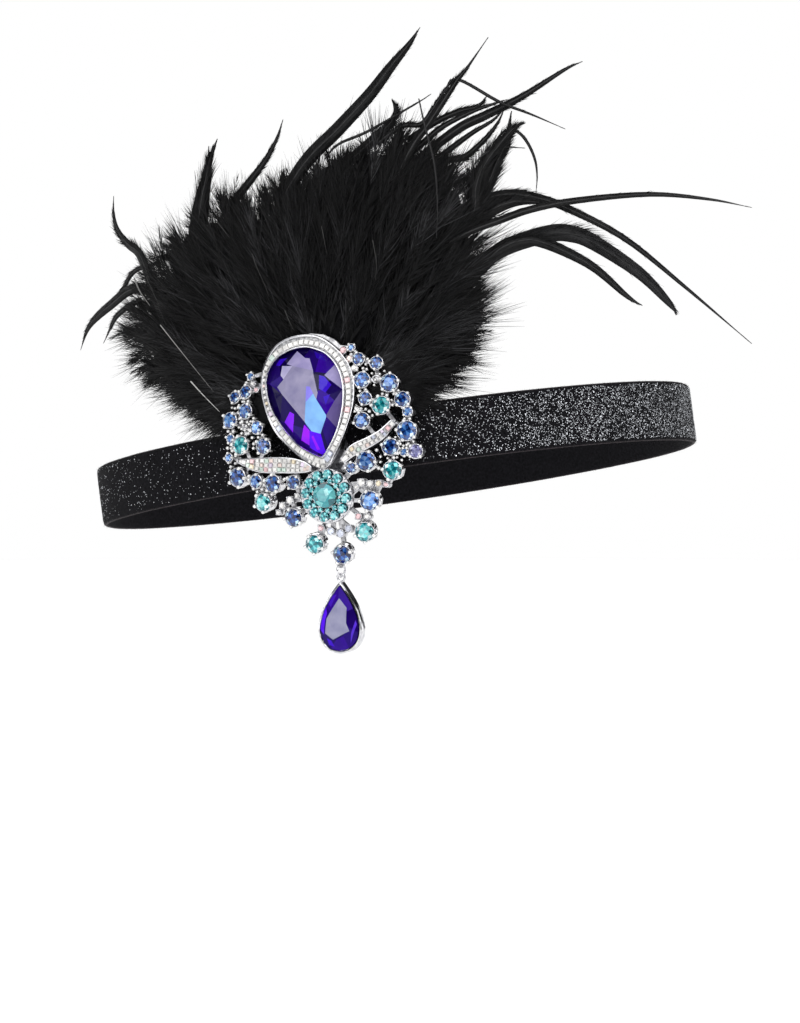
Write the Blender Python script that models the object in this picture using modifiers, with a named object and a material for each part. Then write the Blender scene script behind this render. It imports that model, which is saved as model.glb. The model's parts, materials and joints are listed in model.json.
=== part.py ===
"""Flapper headpiece: a glitter velvet headband, a feather plume, a jewelled brooch and its hanging drop.

Metres, +Z up. The head it is worn on faces -Y, and the brooch sits at the temple on the -X side.
The origin is in the loop that the head fills, level with its middle and at its widest point.
Sizes below are in millimetres.
"""

import math

import bmesh
import bpy
from mathutils import Matrix, Vector

MM = 0.001
GAP = 0.3

# Headband: an oval loop, worn higher at the front. A fullness of 2 would be an ellipse
BAND_HALF_ACROSS = 79.6
BAND_FRONT_LENGTH = 98.2
BAND_BACK_LENGTH = 92.5
BAND_FULLNESS = 2.05
BAND_WIDTH = 17.3
BAND_THICKNESS = 1.6
BAND_SEGMENTS = 80
BAND_PITCH = math.radians(9.7)

# Brooch: cast flat, then domed like the side of the head
BROOCH_TURN = math.radians(204.3)
DOME_RADIUS = 110.0
PLATE_BACK = 4.8
PLATE_FRONT = 6.2
PAVE_BACK = PLATE_FRONT + GAP
PAVE_FRONT = 7.9
CUP_SEAT = 6.9
CUP_RIM = 0.3
CUP_SIDES = 8
STONE_LIFT = 0.15
STONE_SIDES = 8
TABLE_SHARE = 0.55
SLIVER = 0.01
FLAT_ANGLE = math.radians(0.5)

# Bars of the frame, between cups and from a cup to a plate, for gaps up to their reach
BAR_WIDTH = 1.1
BAR_REACH = 1.6
PLATE_REACH = 3.0
PLATE_BITE = 0.7

# Pear outlines: centre across and up, length, width, lean to the left
PEAR_STONE = {"across": -2.5, "up": 13.2, "length": 32.0, "width": 23.2, "lean": 9.0}
PEAR_RIM = {"across": -2.4, "up": 13.2, "length": 33.0, "width": 24.2, "lean": 9.0}
HALO = {"across": -2.3, "up": 13.6, "length": 39.2, "width": 28.0, "lean": 8.2}
PEAR_STONE_TOP = 11.4
HALO_STONES = 26
HALO_SIDES = 28

FLOWER_ACROSS = -0.7
FLOWER_UP = -14.1
FLOWER_RADIUS = 8.2
FLOWER_CENTRE_DIAMETER = 6.8
PETAL_STONES = 12
PETAL_STONE_DIAMETER = 2.9
PETAL_RING_RADIUS = 6.1

# Swooshes of small crystals: centre line across, up, and the width there
LEFT_SWOOSH = [(-27.6, 0.0, 1.0), (-20.5, -2.3, 4.0), (-11.8, -3.7, 4.4), (-6.6, -4.9, 3.4), (-3.8, -5.8, 1.2)]
RIGHT_SWOOSH = [(6.0, -5.0, 1.8), (9.7, -2.4, 3.0), (14.2, -0.9, 2.9), (18.4, 0.9, 2.6), (22.2, 3.9, 1.8)]
SWOOSH_STONES = 11
SWOOSH_STONE_DIAMETER = 1.9

# Single stones in their own cups: name, across, up, diameter, colour
STONES = [
    ("right_top_small", 11.6, 26.8, 1.8, "light_sapphire"),
    ("right_top", 13.6, 23.1, 3.2, "sapphire"),
    ("right_top_outer", 18.7, 21.2, 3.4, "sapphire"),
    ("right_shoulder", 14.3, 16.9, 4.2, "light_sapphire"),
    ("right_shoulder_outer", 22.0, 14.9, 4.8, "sapphire"),
    ("right_waist", 14.7, 11.6, 3.4, "sapphire"),
    ("right_heart", 19.1, 8.9, 4.8, "aqua"),
    ("right_edge", 25.2, 9.8, 4.0, "sapphire"),
    ("right_edge_small", 26.2, 6.2, 2.4, "light_sapphire"),
    ("right_inner", 13.2, 5.5, 4.2, "sapphire"),
    ("right_side", 25.4, 0.8, 5.2, "light_sapphire"),
    ("right_side_inner", 20.3, -3.0, 4.4, "sapphire"),
    ("right_side_small", 23.7, -5.0, 1.8, "light_sapphire"),
    ("right_corner", 27.0, -5.2, 3.6, "violet"),
    ("right_hip", 12.9, -6.0, 5.2, "sapphire"),
    ("right_hip_small", 8.2, -7.3, 2.8, "sapphire"),
    ("right_hip_outer", 19.9, -9.6, 5.0, "aqua"),
    ("right_foot", 12.1, -17.1, 5.2, "light_sapphire"),
    ("right_toe", 8.9, -25.5, 5.2, "aqua"),
    ("bottom_left", -6.6, -26.8, 5.0, "aqua"),
    ("left_foot", -11.5, -18.6, 4.8, "sapphire"),
    ("left_foot_outer", -20.3, -13.0, 4.8, "aqua"),
    ("left_row_a", -27.4, -4.8, 5.0, "sapphire"),
    ("left_row_b", -21.8, -6.8, 3.6, "sapphire"),
    ("left_row_c", -16.2, -8.2, 4.6, "sapphire"),
    ("left_row_d", -9.8, -8.8, 3.6, "sapphire"),
    ("left_heart", -25.0, 4.0, 4.8, "aqua"),
    ("left_inner", -17.6, 2.7, 4.2, "sapphire"),
    ("left_side_small", -28.8, 6.6, 2.2, "light_sapphire"),
    ("left_low_small", -30.1, 1.2, 2.2, "light_sapphire"),
    ("left_side", -27.9, 11.7, 4.2, "light_sapphire"),
    ("left_shoulder", -22.5, 13.5, 4.0, "sapphire"),
    ("left_waist", -19.3, 8.3, 3.4, "light_sapphire"),
    ("left_waist_small", -23.7, 9.0, 1.4, "crystal"),
    ("left_top_outer", -25.9, 18.1, 3.0, "sapphire"),
    ("left_top", -22.0, 19.0, 3.4, "sapphire"),
    ("left_top_small", -20.4, 23.4, 1.8, "light_sapphire"),
    ("link", 0.9, -30.8, 5.0, "sapphire"),
]

# Short rows of small crystals that share one setting: across, up, diameter
CRYSTAL_ROWS = {
    "crystal_row_right": [
        (8.8, -12.9, 1.4),
        (10.4, -11.9, 2.2),
        (12.9, -12.6, 1.8),
        (15.4, -12.8, 1.8),
        (17.4, -13.4, 1.4),
    ],
    "crystal_row_lower_right": [(7.8, -21.2, 1.8), (10.3, -21.5, 1.6)],
    "crystal_row_bottom": [(-4.0, -22.9, 1.8), (-1.3, -24.2, 2.0), (1.4, -25.2, 2.2), (4.2, -24.2, 2.0)],
    "crystal_row_left": [(-9.5, -12.9, 1.4), (-12.1, -13.7, 2.0), (-14.8, -14.9, 1.8), (-16.4, -16.6, 1.4)],
    "crystal_row_upper_left": [(-19.6, 21.2, 1.2), (-18.7, 19.3, 1.4)],
}
CRYSTAL_CUP_RIM = 0.2

# Empty ring in the right wing, whose stone is missing
EMPTY_RING = {"across": 18.0, "up": 16.9, "radius": 1.1, "wire": 0.4, "depth": 6.2}

# Hidden clip over the band's top edge
CLIP_WIDTH = 12.0
CLIP_METAL = 0.8
CLIP_FRONT_LEG = 8.0
CLIP_BACK_LEG = 5.0
CLIP_POST_LOW = -5.0
CLIP_POST_HIGH = -1.6
CLIP_POST_TOP = 4.3

# Hanging drop and the ring it hangs by
WIRE = 0.35
WIRE_CLEARANCE = 0.12
WIRE_SIDES = 6
EYELET_RADIUS = 1.1
RING_RADIUS = 1.75
RING_TWIST = math.radians(-18)
EYELET_ACROSS = -2.1
EYELET_DEPTH = 5.6
EYELET_BITE = 0.2
DROP_LENGTH = 20.8
DROP_WIDTH = 13.4
DROP_BACK = -2.0
DROP_FRONT = 1.2
DROP_RIM = 0.9
DROP_FLOOR = 0.9
DROP_STONE_TOP = 3.2

# Plume: felt pad behind the brooch, and the surface the feathers spread over
PAD_UP = 16.5
PAD_HALF_WIDTH = 13.0
PAD_HALF_HEIGHT = 8.0
PAD_BACK = 2.6
PAD_FRONT = 3.8
PLUME_WRAP_RADIUS = 130.0
ROOT_UP = 16.0
ROOT_DEPTH = 0.5
ROOT_THICKNESS = 3.0
WAIST_DEPTH = -6.5
LOCK_WIDTHS = (0.35, 0.75, 1.0, 1.0, 0.4)
LOCK_THICKNESSES = (0.5, 1.0, 1.0, 0.35)

# Down of the plume: tip across, tip up, widest width, thickness, depth of the tip
DOWN_LOCKS = [
    (-37, 22, 12, 9, -8),
    (-52, 30, 19, 13, -7),
    (-64, 43, 23, 14, -4),
    (-58, 57, 23, 15, -1),
    (-53, 68, 23, 15, 2),
    (-39, 75, 24, 16, -4),
    (-25, 78, 24, 16, 4),
    (-11, 78, 24, 17, -5),
    (2, 84, 24, 17, 2),
    (15, 84, 24, 17, -4),
    (27, 87, 23, 16, 3),
    (39, 88, 22, 15, -3),
    (46, 79, 21, 15, 4),
    (54, 68, 21, 14, -3),
    (53, 53, 20, 14, 2),
    (50, 38, 18, 13, -4),
    (46, 25, 14, 10, -7),
    (31, 17, 9, 8, -9),
]

# Long feathers: points across and up, widest width, depth
FEATHERS = [
    ([(-6, 68), (4, 81), (16, 93), (29, 103), (42, 115)], 4.4, 1),
    ([(12, 72), (22, 85), (28, 90), (32, 96)], 3.4, -2),
    ([(-22, 52), (-20, 74), (-11, 86), (-3, 96)], 3.0, -1),
    ([(-24, 50), (-30, 70), (-27, 84), (-23, 94)], 4.6, 1),
    ([(-42, 42), (-53, 53), (-57, 66), (-63, 74), (-64, 85)], 3.6, 0),
    ([(-44, 46), (-58, 53), (-72, 51), (-80, 48), (-85, 43)], 4.4, -2),
    ([(36, 74), (43, 92), (50, 98), (60, 109)], 3.0, 2),
    ([(34, 68), (43, 80), (56, 90), (71, 96), (81, 100)], 3.2, -1),
    ([(40, 50), (51, 66), (58, 77), (64, 84)], 5.0, -2),
    ([(36, 50), (57, 59), (77, 60), (97, 59), (118, 54)], 3.0, 2),
    ([(38, 56), (57, 65), (80, 54), (98, 35), (113, 15)], 3.0, -1),
    ([(34, 38), (56, 52), (71, 50), (84, 40), (95, 27)], 6.4, -3),
    ([(34, 32), (50, 45), (62, 49), (76, 41), (87, 29)], 5.6, -6),
]
FEATHER_THICKNESS = 1.3
DOWN_SIDES = 6
DOWN_SECTIONS = 6
FEATHER_SIDES = 4
FEATHER_SECTIONS = 7

COLOURS = {
    "velvet": ((0.010, 0.009, 0.012), 0.75, 0.0),
    "feather": ((0.012, 0.012, 0.013), 0.55, 0.0),
    "silver": ((0.80, 0.80, 0.82), 0.16, 1.0),
    "violet": ((0.07, 0.02, 0.42), 0.05, 0.0),
    "sapphire": ((0.05, 0.15, 0.48), 0.05, 0.0),
    "light_sapphire": ((0.34, 0.50, 0.82), 0.05, 0.0),
    "aqua": ((0.08, 0.52, 0.58), 0.05, 0.0),
    "crystal": ((0.82, 0.82, 0.86), 0.05, 0.0),
}


def clear_scene():
    for old in list(bpy.data.objects):
        bpy.data.objects.remove(old, do_unlink=True)


def new_collection(name):
    collection = bpy.data.collections.new(name)
    bpy.context.scene.collection.children.link(collection)
    return collection


def material(name):
    made = bpy.data.materials.get(name)
    if made:
        return made
    colour, roughness, metallic = COLOURS[name]
    made = bpy.data.materials.new(name)
    made.use_nodes = True
    shader = made.node_tree.nodes["Principled BSDF"]
    shader.inputs["Base Color"].default_value = (*colour, 1)
    shader.inputs["Roughness"].default_value = roughness
    shader.inputs["Metallic"].default_value = metallic
    return made


def place(name, mesh, colour, collection, parent=None):
    """A mesh as the sub-part of this name."""
    part = bpy.data.objects.new(name, mesh)
    part.data.materials.clear()
    part.data.materials.append(material(colour))
    part.data.set_sharp_from_angle(angle=math.radians(35))
    collection.objects.link(part)
    part.parent = parent
    return part


def empty(name, collection, matrix, parent=None):
    axis = bpy.data.objects.new(name, None)
    axis.empty_display_size = 5 * MM
    collection.objects.link(axis)
    axis.parent = parent
    axis.matrix_local = matrix
    return axis


def helper(name, data, helpers):
    guide = bpy.data.objects.new(name, data)
    guide.hide_render = True
    guide.display_type = "WIRE"
    helpers.objects.link(guide)
    return guide


def evaluated(guide):
    """The evaluated mesh of a helper, which is removed."""
    graph = bpy.context.evaluated_depsgraph_get()
    mesh = bpy.data.meshes.new_from_object(guide.evaluated_get(graph))
    bpy.data.objects.remove(guide, do_unlink=True)
    return mesh


def welded(mesh):
    bm = bmesh.new()
    bm.from_mesh(mesh)
    bmesh.ops.remove_doubles(bm, verts=bm.verts, dist=0.001 * MM)
    bmesh.ops.recalc_face_normals(bm, faces=bm.faces)
    bm.to_mesh(mesh)
    bm.free()
    return mesh


def slab(outline, back, front, helpers):
    """A flat outline in millimetres, filled from its back to its front."""
    curve = bpy.data.curves.new("outline", "CURVE")
    curve.dimensions = "2D"
    curve.fill_mode = "BOTH"
    curve.extrude = (front - back) / 2 * MM
    spline = curve.splines.new("POLY")
    spline.points.add(len(outline) - 1)
    for point, (across, up) in zip(spline.points, outline):
        point.co = (across * MM, up * MM, 0, 1)
    spline.use_cyclic_u = True
    mesh = welded(evaluated(helper("outline", curve, helpers)))
    mesh.transform(Matrix.Translation((0, 0, (back + front) / 2 * MM)))
    return mesh


def cone(across, up, back, front, radius_back, radius_front, sides, turn=0.0):
    """A cylinder or a cone along the depth, as a mesh."""
    bm = bmesh.new()
    centre = Vector((across, up, (back + front) / 2)) * MM
    bmesh.ops.create_cone(
        bm,
        cap_ends=True,
        segments=sides,
        radius1=radius_back * MM,
        radius2=radius_front * MM,
        depth=(front - back) * MM,
        matrix=Matrix.Translation(centre) @ Matrix.Rotation(turn, 4, "Z"),
    )
    mesh = bpy.data.meshes.new("cone")
    bm.to_mesh(mesh)
    bm.free()
    return mesh


def bar(across, up, to_across, to_up, back=PLATE_BACK, front=PLATE_FRONT):
    """A flat bar between two points."""
    run = Vector((to_across - across, to_up - up))
    centre = Vector(((across + to_across) / 2, (up + to_up) / 2, (back + front) / 2)) * MM
    size = Vector((run.length, BAR_WIDTH, front - back)) * MM
    bm = bmesh.new()
    bmesh.ops.create_cube(
        bm,
        size=1,
        matrix=Matrix.Translation(centre)
        @ Matrix.Rotation(math.atan2(run.y, run.x), 4, "Z")
        @ Matrix.Diagonal((*size, 1)),
    )
    mesh = bpy.data.meshes.new("bar")
    bm.to_mesh(mesh)
    bm.free()
    return mesh


def ring(radius, wire, major, matrix):
    """A wire ring in the XY plane of the matrix, as a mesh in millimetres scaled to metres."""
    bpy.ops.mesh.primitive_torus_add(
        major_segments=major,
        minor_segments=WIRE_SIDES,
        major_radius=radius * MM,
        minor_radius=wire * MM,
    )
    made = bpy.context.object
    mesh = made.data
    bpy.data.objects.remove(made, do_unlink=True)
    mesh.transform(matrix)
    return mesh


def fused(meshes, helpers):
    """One closed body from overlapping closed meshes."""
    pieces = bpy.data.collections.new("pieces")
    helpers.children.link(pieces)
    first = helper("first", meshes[0], helpers)
    for index, mesh in enumerate(meshes[1:]):
        helper(f"piece_{index}", mesh, pieces)
    union = first.modifiers.new("fuse", "BOOLEAN")
    union.operation = "UNION"
    union.operand_type = "COLLECTION"
    union.collection = pieces
    union.solver = "EXACT"
    mesh = evaluated(first)
    for piece in list(pieces.objects):
        bpy.data.objects.remove(piece, do_unlink=True)
    bpy.data.collections.remove(pieces)
    return mesh


def without_slivers(mesh):
    """A fused body in triangles, with points that all but touch drawn together."""
    bm = bmesh.new()
    bm.from_mesh(mesh)
    bmesh.ops.triangulate(bm, faces=bm.faces)
    bmesh.ops.remove_doubles(bm, verts=bm.verts, dist=SLIVER * MM)
    bmesh.ops.dissolve_degenerate(bm, dist=SLIVER * MM, edges=bm.edges)
    bmesh.ops.triangulate(bm, faces=bm.faces)
    bm.to_mesh(mesh)
    bm.free()
    return mesh


def domed(mesh):
    """The flat casting pressed to the dome: each point drops by its distance from the centre."""
    bm = bmesh.new()
    bm.from_mesh(mesh)
    bmesh.ops.dissolve_limit(bm, angle_limit=FLAT_ANGLE, verts=bm.verts, edges=bm.edges)
    bmesh.ops.triangulate(bm, faces=bm.faces)
    for vert in bm.verts:
        vert.co.z -= (vert.co.x**2 + vert.co.y**2) / (2 * DOME_RADIUS * MM)
    bm.to_mesh(mesh)
    bm.free()
    return mesh


def loft(sections):
    """A closed body through rings of equally many points, the first and last ring capped."""
    bm = bmesh.new()
    rings = [[bm.verts.new(point * MM) for point in section] for section in sections]
    count = len(rings[0])
    for low, high in zip(rings, rings[1:]):
        for index in range(count):
            after = (index + 1) % count
            bm.faces.new((low[index], low[after], high[after], high[index]))
    bm.faces.new(rings[0][::-1])
    bm.faces.new(rings[-1])
    bmesh.ops.recalc_face_normals(bm, faces=bm.faces)
    mesh = bpy.data.meshes.new("loft")
    bm.to_mesh(mesh)
    bm.free()
    return mesh


def pear(shape, sides):
    """A pear's outline, point down, as (across, up) from the point round."""
    widest = 4 / (3 * math.sqrt(3))
    lean = math.radians(shape["lean"])
    outline = []
    for index in range(sides):
        turn = 2 * math.pi * index / sides
        along = -shape["length"] / 2 * math.cos(turn)
        side = shape["width"] / 2 * math.sin(turn) * math.sin(turn / 2) / widest
        across = shape["across"] + side * math.cos(lean) - along * math.sin(lean)
        up = shape["up"] + side * math.sin(lean) + along * math.cos(lean)
        outline.append((across, up))
    return outline


def smooth(points, share):
    """A point on the Catmull-Rom curve through the points, for a share of its length from 0 to 1."""
    last = len(points) - 1
    place_on = min(share * last, last - 1e-9)
    index = int(place_on)
    t = place_on - index
    p1, p2 = Vector(points[index]), Vector(points[index + 1])
    p0 = Vector(points[index - 1]) if index else p1 * 2 - p2
    p3 = Vector(points[index + 2]) if index + 2 <= last else p2 * 2 - p1
    square = (2 * p0 - 5 * p1 + 4 * p2 - p3) * t**2
    cube = (3 * p1 - p0 - 3 * p2 + p3) * t**3
    return 0.5 * (2 * p1 + (p2 - p0) * t + square + cube)


def smooth_value(values, share):
    return smooth([(value, 0) for value in values], share).x


def band_point(turn):
    """A point on the band's middle line, before it is pitched."""
    cosine, sine = math.cos(turn), math.sin(turn)
    length = BAND_BACK_LENGTH if sine > 0 else BAND_FRONT_LENGTH
    reach = (abs(cosine) ** BAND_FULLNESS + abs(sine) ** BAND_FULLNESS) ** (-1 / BAND_FULLNESS)
    return Vector((BAND_HALF_ACROSS * reach * cosine, length * reach * sine, 0))


def brooch_matrix():
    """The brooch's own axes on the unpitched band: X across, Y up, Z outwards."""
    across = (band_point(BROOCH_TURN + 0.001) - band_point(BROOCH_TURN)).normalized()
    up = Vector((0, 0, 1))
    matrix = Matrix((across, up, across.cross(up))).transposed().to_4x4()
    matrix.translation = band_point(BROOCH_TURN) * MM
    return matrix


def make_headband(collection, head):
    bm = bmesh.new()
    low = Vector((0, 0, -BAND_WIDTH / 2))
    turns = [2 * math.pi * index / BAND_SEGMENTS for index in range(BAND_SEGMENTS)]
    loop = [bm.verts.new((band_point(turn) + low) * MM) for turn in turns]
    edges = [bm.edges.new((loop[index - 1], loop[index])) for index in range(BAND_SEGMENTS)]
    raised = bmesh.ops.extrude_edge_only(bm, edges=edges)["geom"]
    verts = [item for item in raised if isinstance(item, bmesh.types.BMVert)]
    bmesh.ops.translate(bm, verts=verts, vec=(0, 0, BAND_WIDTH * MM))
    bmesh.ops.recalc_face_normals(bm, faces=bm.faces)
    mesh = bpy.data.meshes.new("headband")
    bm.to_mesh(mesh)
    bm.free()
    band = place("headband", mesh, "velvet", collection, head)
    wall = band.modifiers.new("velvet", "SOLIDIFY")
    wall.thickness = BAND_THICKNESS * MM
    wall.offset = 0
    return band


def make_clip(collection, helpers, seat):
    """A U over the band's top edge, with a post towards the brooch, drawn from the side: depth, up."""
    inner = BAND_THICKNESS / 2 + GAP
    outer = inner + CLIP_METAL
    top = BAND_WIDTH / 2 + GAP
    outline = [
        (inner, top),
        (inner, -CLIP_FRONT_LEG),
        (outer, -CLIP_FRONT_LEG),
        (outer, CLIP_POST_LOW),
        (CLIP_POST_TOP, CLIP_POST_LOW),
        (CLIP_POST_TOP, CLIP_POST_HIGH),
        (outer, CLIP_POST_HIGH),
        (outer, top + CLIP_METAL / 2),
        (inner + CLIP_METAL / 2, top + CLIP_METAL),
        (-inner - CLIP_METAL / 2, top + CLIP_METAL),
        (-outer, top + CLIP_METAL / 2),
        (-outer, -CLIP_BACK_LEG),
        (-inner, -CLIP_BACK_LEG),
        (-inner, top),
    ]
    mesh = slab(outline, -CLIP_WIDTH / 2, CLIP_WIDTH / 2, helpers)
    # The drawing's first axis is the depth and its thickness runs across
    mesh.transform(Matrix(((0, 0, -1, 0), (0, 1, 0, 0), (1, 0, 0, 0), (0, 0, 0, 1))))
    return place("brooch_clip", mesh, "silver", collection, seat)


def round_stone(diameter):
    """A cut stone's half profile, turned with a facet to each step."""
    radius = diameter / 2
    profile = [(0, 0.52), (0.56, 0.52), (1, 0.34), (1, 0.28), (0.45, 0), (0, 0)]
    mesh = bpy.data.meshes.new("stone")
    points = [(share * radius * MM, 0, height * diameter * MM) for share, height in profile]
    mesh.from_pydata(points, [(index, index + 1) for index in range(len(points) - 1)], [])
    return mesh


def make_stones(collection, seat):
    """Each single stone on its cup, tilted as the dome is there."""
    meshes = {}
    for name, across, up, diameter, colour in STONES:
        key = (diameter, colour)
        if key not in meshes:
            meshes[key] = round_stone(diameter)
        stone = place(f"{name}_stone", meshes[key], colour, collection, seat)
        turned = stone.modifiers.new("facets", "SCREW")
        turned.angle = 2 * math.pi
        turned.steps = turned.render_steps = STONE_SIDES
        turned.screw_offset = 0
        turned.use_merge_vertices = True
        turned.merge_threshold = 0.01 * MM
        sag = (across**2 + up**2) / (2 * DOME_RADIUS)
        outwards = Vector((across / DOME_RADIUS, up / DOME_RADIUS, 1)).normalized()
        lift = Vector((across, up, CUP_SEAT - sag)) + outwards * STONE_LIFT
        stone.location = lift * MM
        stone.rotation_euler = outwards.to_track_quat("Z", "Y").to_euler()


def small_stone(across, up, diameter, back, front):
    """A small cut stone sunk into its setting: a table and one ring of facets."""
    return cone(across, up, back, front, diameter / 2, diameter / 2 * TABLE_SHARE, STONE_SIDES)


def ribbon(line, sections):
    """The outline of a strip of changing width along a smooth line."""
    shares = [index / sections for index in range(sections + 1)]
    middle = [smooth([row[:2] for row in line], share) for share in shares]
    widths = [smooth_value([row[2] for row in line], share) for share in shares]
    left, right = [], []
    for index, point in enumerate(middle):
        ahead = middle[min(index + 1, sections)] - middle[max(index - 1, 0)]
        normal = Vector((-ahead.y, ahead.x)).normalized() * widths[index] / 2
        left.append(tuple(point + normal))
        right.append(tuple(point - normal))
    return left + right[::-1]


def frame_cups():
    """Every cup of the frame: across, up and outer radius, for single stones and for crystals."""
    cups = [(across, up, diameter / 2 + CUP_RIM) for _, across, up, diameter, _ in STONES]
    for row in CRYSTAL_ROWS.values():
        cups += [(across, up, diameter / 2 + CRYSTAL_CUP_RIM) for across, up, diameter in row]
    cups.append((EMPTY_RING["across"], EMPTY_RING["up"], EMPTY_RING["radius"]))
    return cups


def frame_bars(cups, plates):
    """Bars between neighbouring cups, and from each cup to the plates beside it."""
    bars = []
    for index, (across, up, radius) in enumerate(cups):
        for other_across, other_up, other_radius in cups[index + 1 :]:
            apart = math.dist((across, up), (other_across, other_up))
            if 0 < apart - radius - other_radius < BAR_REACH:
                bars.append(bar(across, up, other_across, other_up))
        for outline in plates:
            edge = min(outline, key=lambda point: math.dist(point, (across, up)))
            run = Vector(edge) - Vector((across, up))
            if run.length - radius < PLATE_REACH:
                end = Vector((across, up)) + run * (1 + PLATE_BITE / run.length)
                bars.append(bar(across, up, end.x, end.y))
    return bars


def make_frame(collection, helpers, seat):
    """The soldered metal: plates under the halo, swooshes and flower, cups, bars and the drop's eyelet."""
    plates = [
        pear(HALO, HALO_SIDES),
        round_outline(FLOWER_RADIUS - 0.6, 20),
        ribbon(LEFT_SWOOSH, 8),
        ribbon(RIGHT_SWOOSH, 8),
    ]
    pieces = [slab(outline, PLATE_BACK, PLATE_FRONT, helpers) for outline in plates]
    cups = frame_cups()
    singles = len(STONES)
    for across, up, radius in cups[:singles]:
        pieces.append(cone(across, up, PLATE_BACK, CUP_SEAT, radius, radius, CUP_SIDES))
    for across, up, radius in cups[singles:-1]:
        pieces.append(cone(across, up, PLATE_BACK, PLATE_FRONT, radius, radius, CUP_SIDES))
    pieces += frame_bars(cups, plates)
    spot = Vector((EMPTY_RING["across"], EMPTY_RING["up"], EMPTY_RING["depth"])) * MM
    pieces.append(ring(EMPTY_RING["radius"], EMPTY_RING["wire"], 10, Matrix.Translation(spot)))
    mesh = domed(fused(pieces, helpers))
    eyelet = ring(EYELET_RADIUS, WIRE, 12, Matrix.Translation(eyelet_centre() * MM))
    return place("brooch_frame", fused([mesh, eyelet], helpers), "silver", collection, seat)


def eyelet_centre():
    """Centre of the drop's eyelet, under the link stone's cup, in the brooch's axes."""
    _, across, up, diameter, _ = STONES[-1]
    cup_radius = diameter / 2 + CUP_RIM
    drop = math.sqrt(cup_radius**2 - EYELET_ACROSS**2)
    low = up - drop - EYELET_RADIUS + EYELET_BITE
    sag = (across**2 + (up - drop) ** 2) / (2 * DOME_RADIUS)
    return Vector((across + EYELET_ACROSS, low, EYELET_DEPTH - sag))


def make_halo(collection, helpers, seat):
    """The silver rim round the pear stone with its stones set in."""
    outer, inner = pear(HALO, HALO_SIDES), pear(PEAR_RIM, HALO_SIDES)
    body = slab(outer, PAVE_BACK, PAVE_FRONT, helpers)
    hole = slab(inner, PAVE_BACK - 1, PAVE_FRONT + 1, helpers)
    rim = helper("rim", body, helpers)
    cutter = helper("hole", hole, helpers)
    cut = rim.modifiers.new("hole", "BOOLEAN")
    cut.operation = "DIFFERENCE"
    cut.object = cutter
    cut.solver = "EXACT"
    mesh = evaluated(rim)
    bpy.data.objects.remove(cutter, do_unlink=True)
    outer, inner = pear(HALO, HALO_STONES), pear(PEAR_RIM, HALO_STONES)
    pieces = [mesh]
    for (across, up), (out_across, out_up) in zip(inner, outer):
        wide = math.hypot(out_across - across, out_up - up)
        diameter = max(1.2, min(wide - 0.5, 2.2))
        middle = ((across + out_across) / 2, (up + out_up) / 2)
        pieces.append(small_stone(*middle, diameter, PAVE_FRONT - 0.4, PAVE_FRONT + 0.6))
    return place("halo_pave", domed(fused(pieces, helpers)), "crystal", collection, seat)


def make_swoosh(name, line, collection, helpers, seat):
    """A crystal swoosh: its setting with a row of stones along it."""
    pieces = [slab(ribbon(line, 8), PAVE_BACK, PAVE_FRONT - 0.4, helpers)]
    for index in range(SWOOSH_STONES):
        share = (index + 0.9) / (SWOOSH_STONES + 0.8)
        point = smooth([row[:2] for row in line], share)
        width = smooth_value([row[2] for row in line], share)
        diameter = min(SWOOSH_STONE_DIAMETER, width - 0.3)
        pieces.append(small_stone(*point, diameter, PAVE_FRONT - 0.8, PAVE_FRONT + 0.4))
    return place(name, domed(fused(pieces, helpers)), "crystal", collection, seat)


def make_crystal_row(name, row, collection, helpers, seat):
    """A short row of crystals in one setting."""
    pieces = []
    for across, up, diameter in row:
        radius = diameter / 2 + CRYSTAL_CUP_RIM
        pieces.append(cone(across, up, PAVE_BACK, PAVE_FRONT - 0.4, radius, radius, 8))
        pieces.append(small_stone(across, up, diameter, PAVE_FRONT - 0.8, PAVE_FRONT + 0.4))
    pieces += [bar(*here[:2], *there[:2], PAVE_BACK, PAVE_FRONT - 0.4) for here, there in zip(row, row[1:])]
    return place(name, domed(fused(pieces, helpers)), "crystal", collection, seat)


def make_flower(collection, helpers, seat):
    """The aqua flower: a ring of stones fused in their setting round one large stone."""
    back, front = PAVE_BACK, PAVE_FRONT
    disc = helper("disc", slab(round_outline(FLOWER_RADIUS - 0.3, 24), back, front, helpers), helpers)
    bore = FLOWER_CENTRE_DIAMETER / 2 + 0.25
    hole = helper("hole", cone(FLOWER_ACROSS, FLOWER_UP, back - 1, front + 1, bore, bore, 16), helpers)
    cut = disc.modifiers.new("hole", "BOOLEAN")
    cut.operation = "DIFFERENCE"
    cut.object = hole
    cut.solver = "EXACT"
    pieces = [evaluated(disc)]
    bpy.data.objects.remove(hole, do_unlink=True)
    for index in range(PETAL_STONES):
        turn = 2 * math.pi * (index + 0.5) / PETAL_STONES
        across = FLOWER_ACROSS + PETAL_RING_RADIUS * math.cos(turn)
        up = FLOWER_UP + PETAL_RING_RADIUS * math.sin(turn)
        pieces.append(small_stone(across, up, PETAL_STONE_DIAMETER, front - 0.4, front + 0.9))
    place("flower_petals", domed(fused(pieces, helpers)), "aqua", collection, seat)

    radius = FLOWER_CENTRE_DIAMETER / 2
    heights = [(0.5, PAVE_BACK), (1, PAVE_FRONT + 0.4), (1, PAVE_FRONT + 0.8), (0.55, PAVE_FRONT + 2.0)]
    mesh = domed(loft(stone_rings(round_outline(radius, 12), heights)))
    place("flower_stone", mesh, "aqua", collection, seat)


def round_outline(radius, sides):
    """A circle round the flower's middle."""
    turns = [2 * math.pi * index / sides for index in range(sides)]
    return [(FLOWER_ACROSS + radius * math.cos(t), FLOWER_UP + radius * math.sin(t)) for t in turns]


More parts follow.
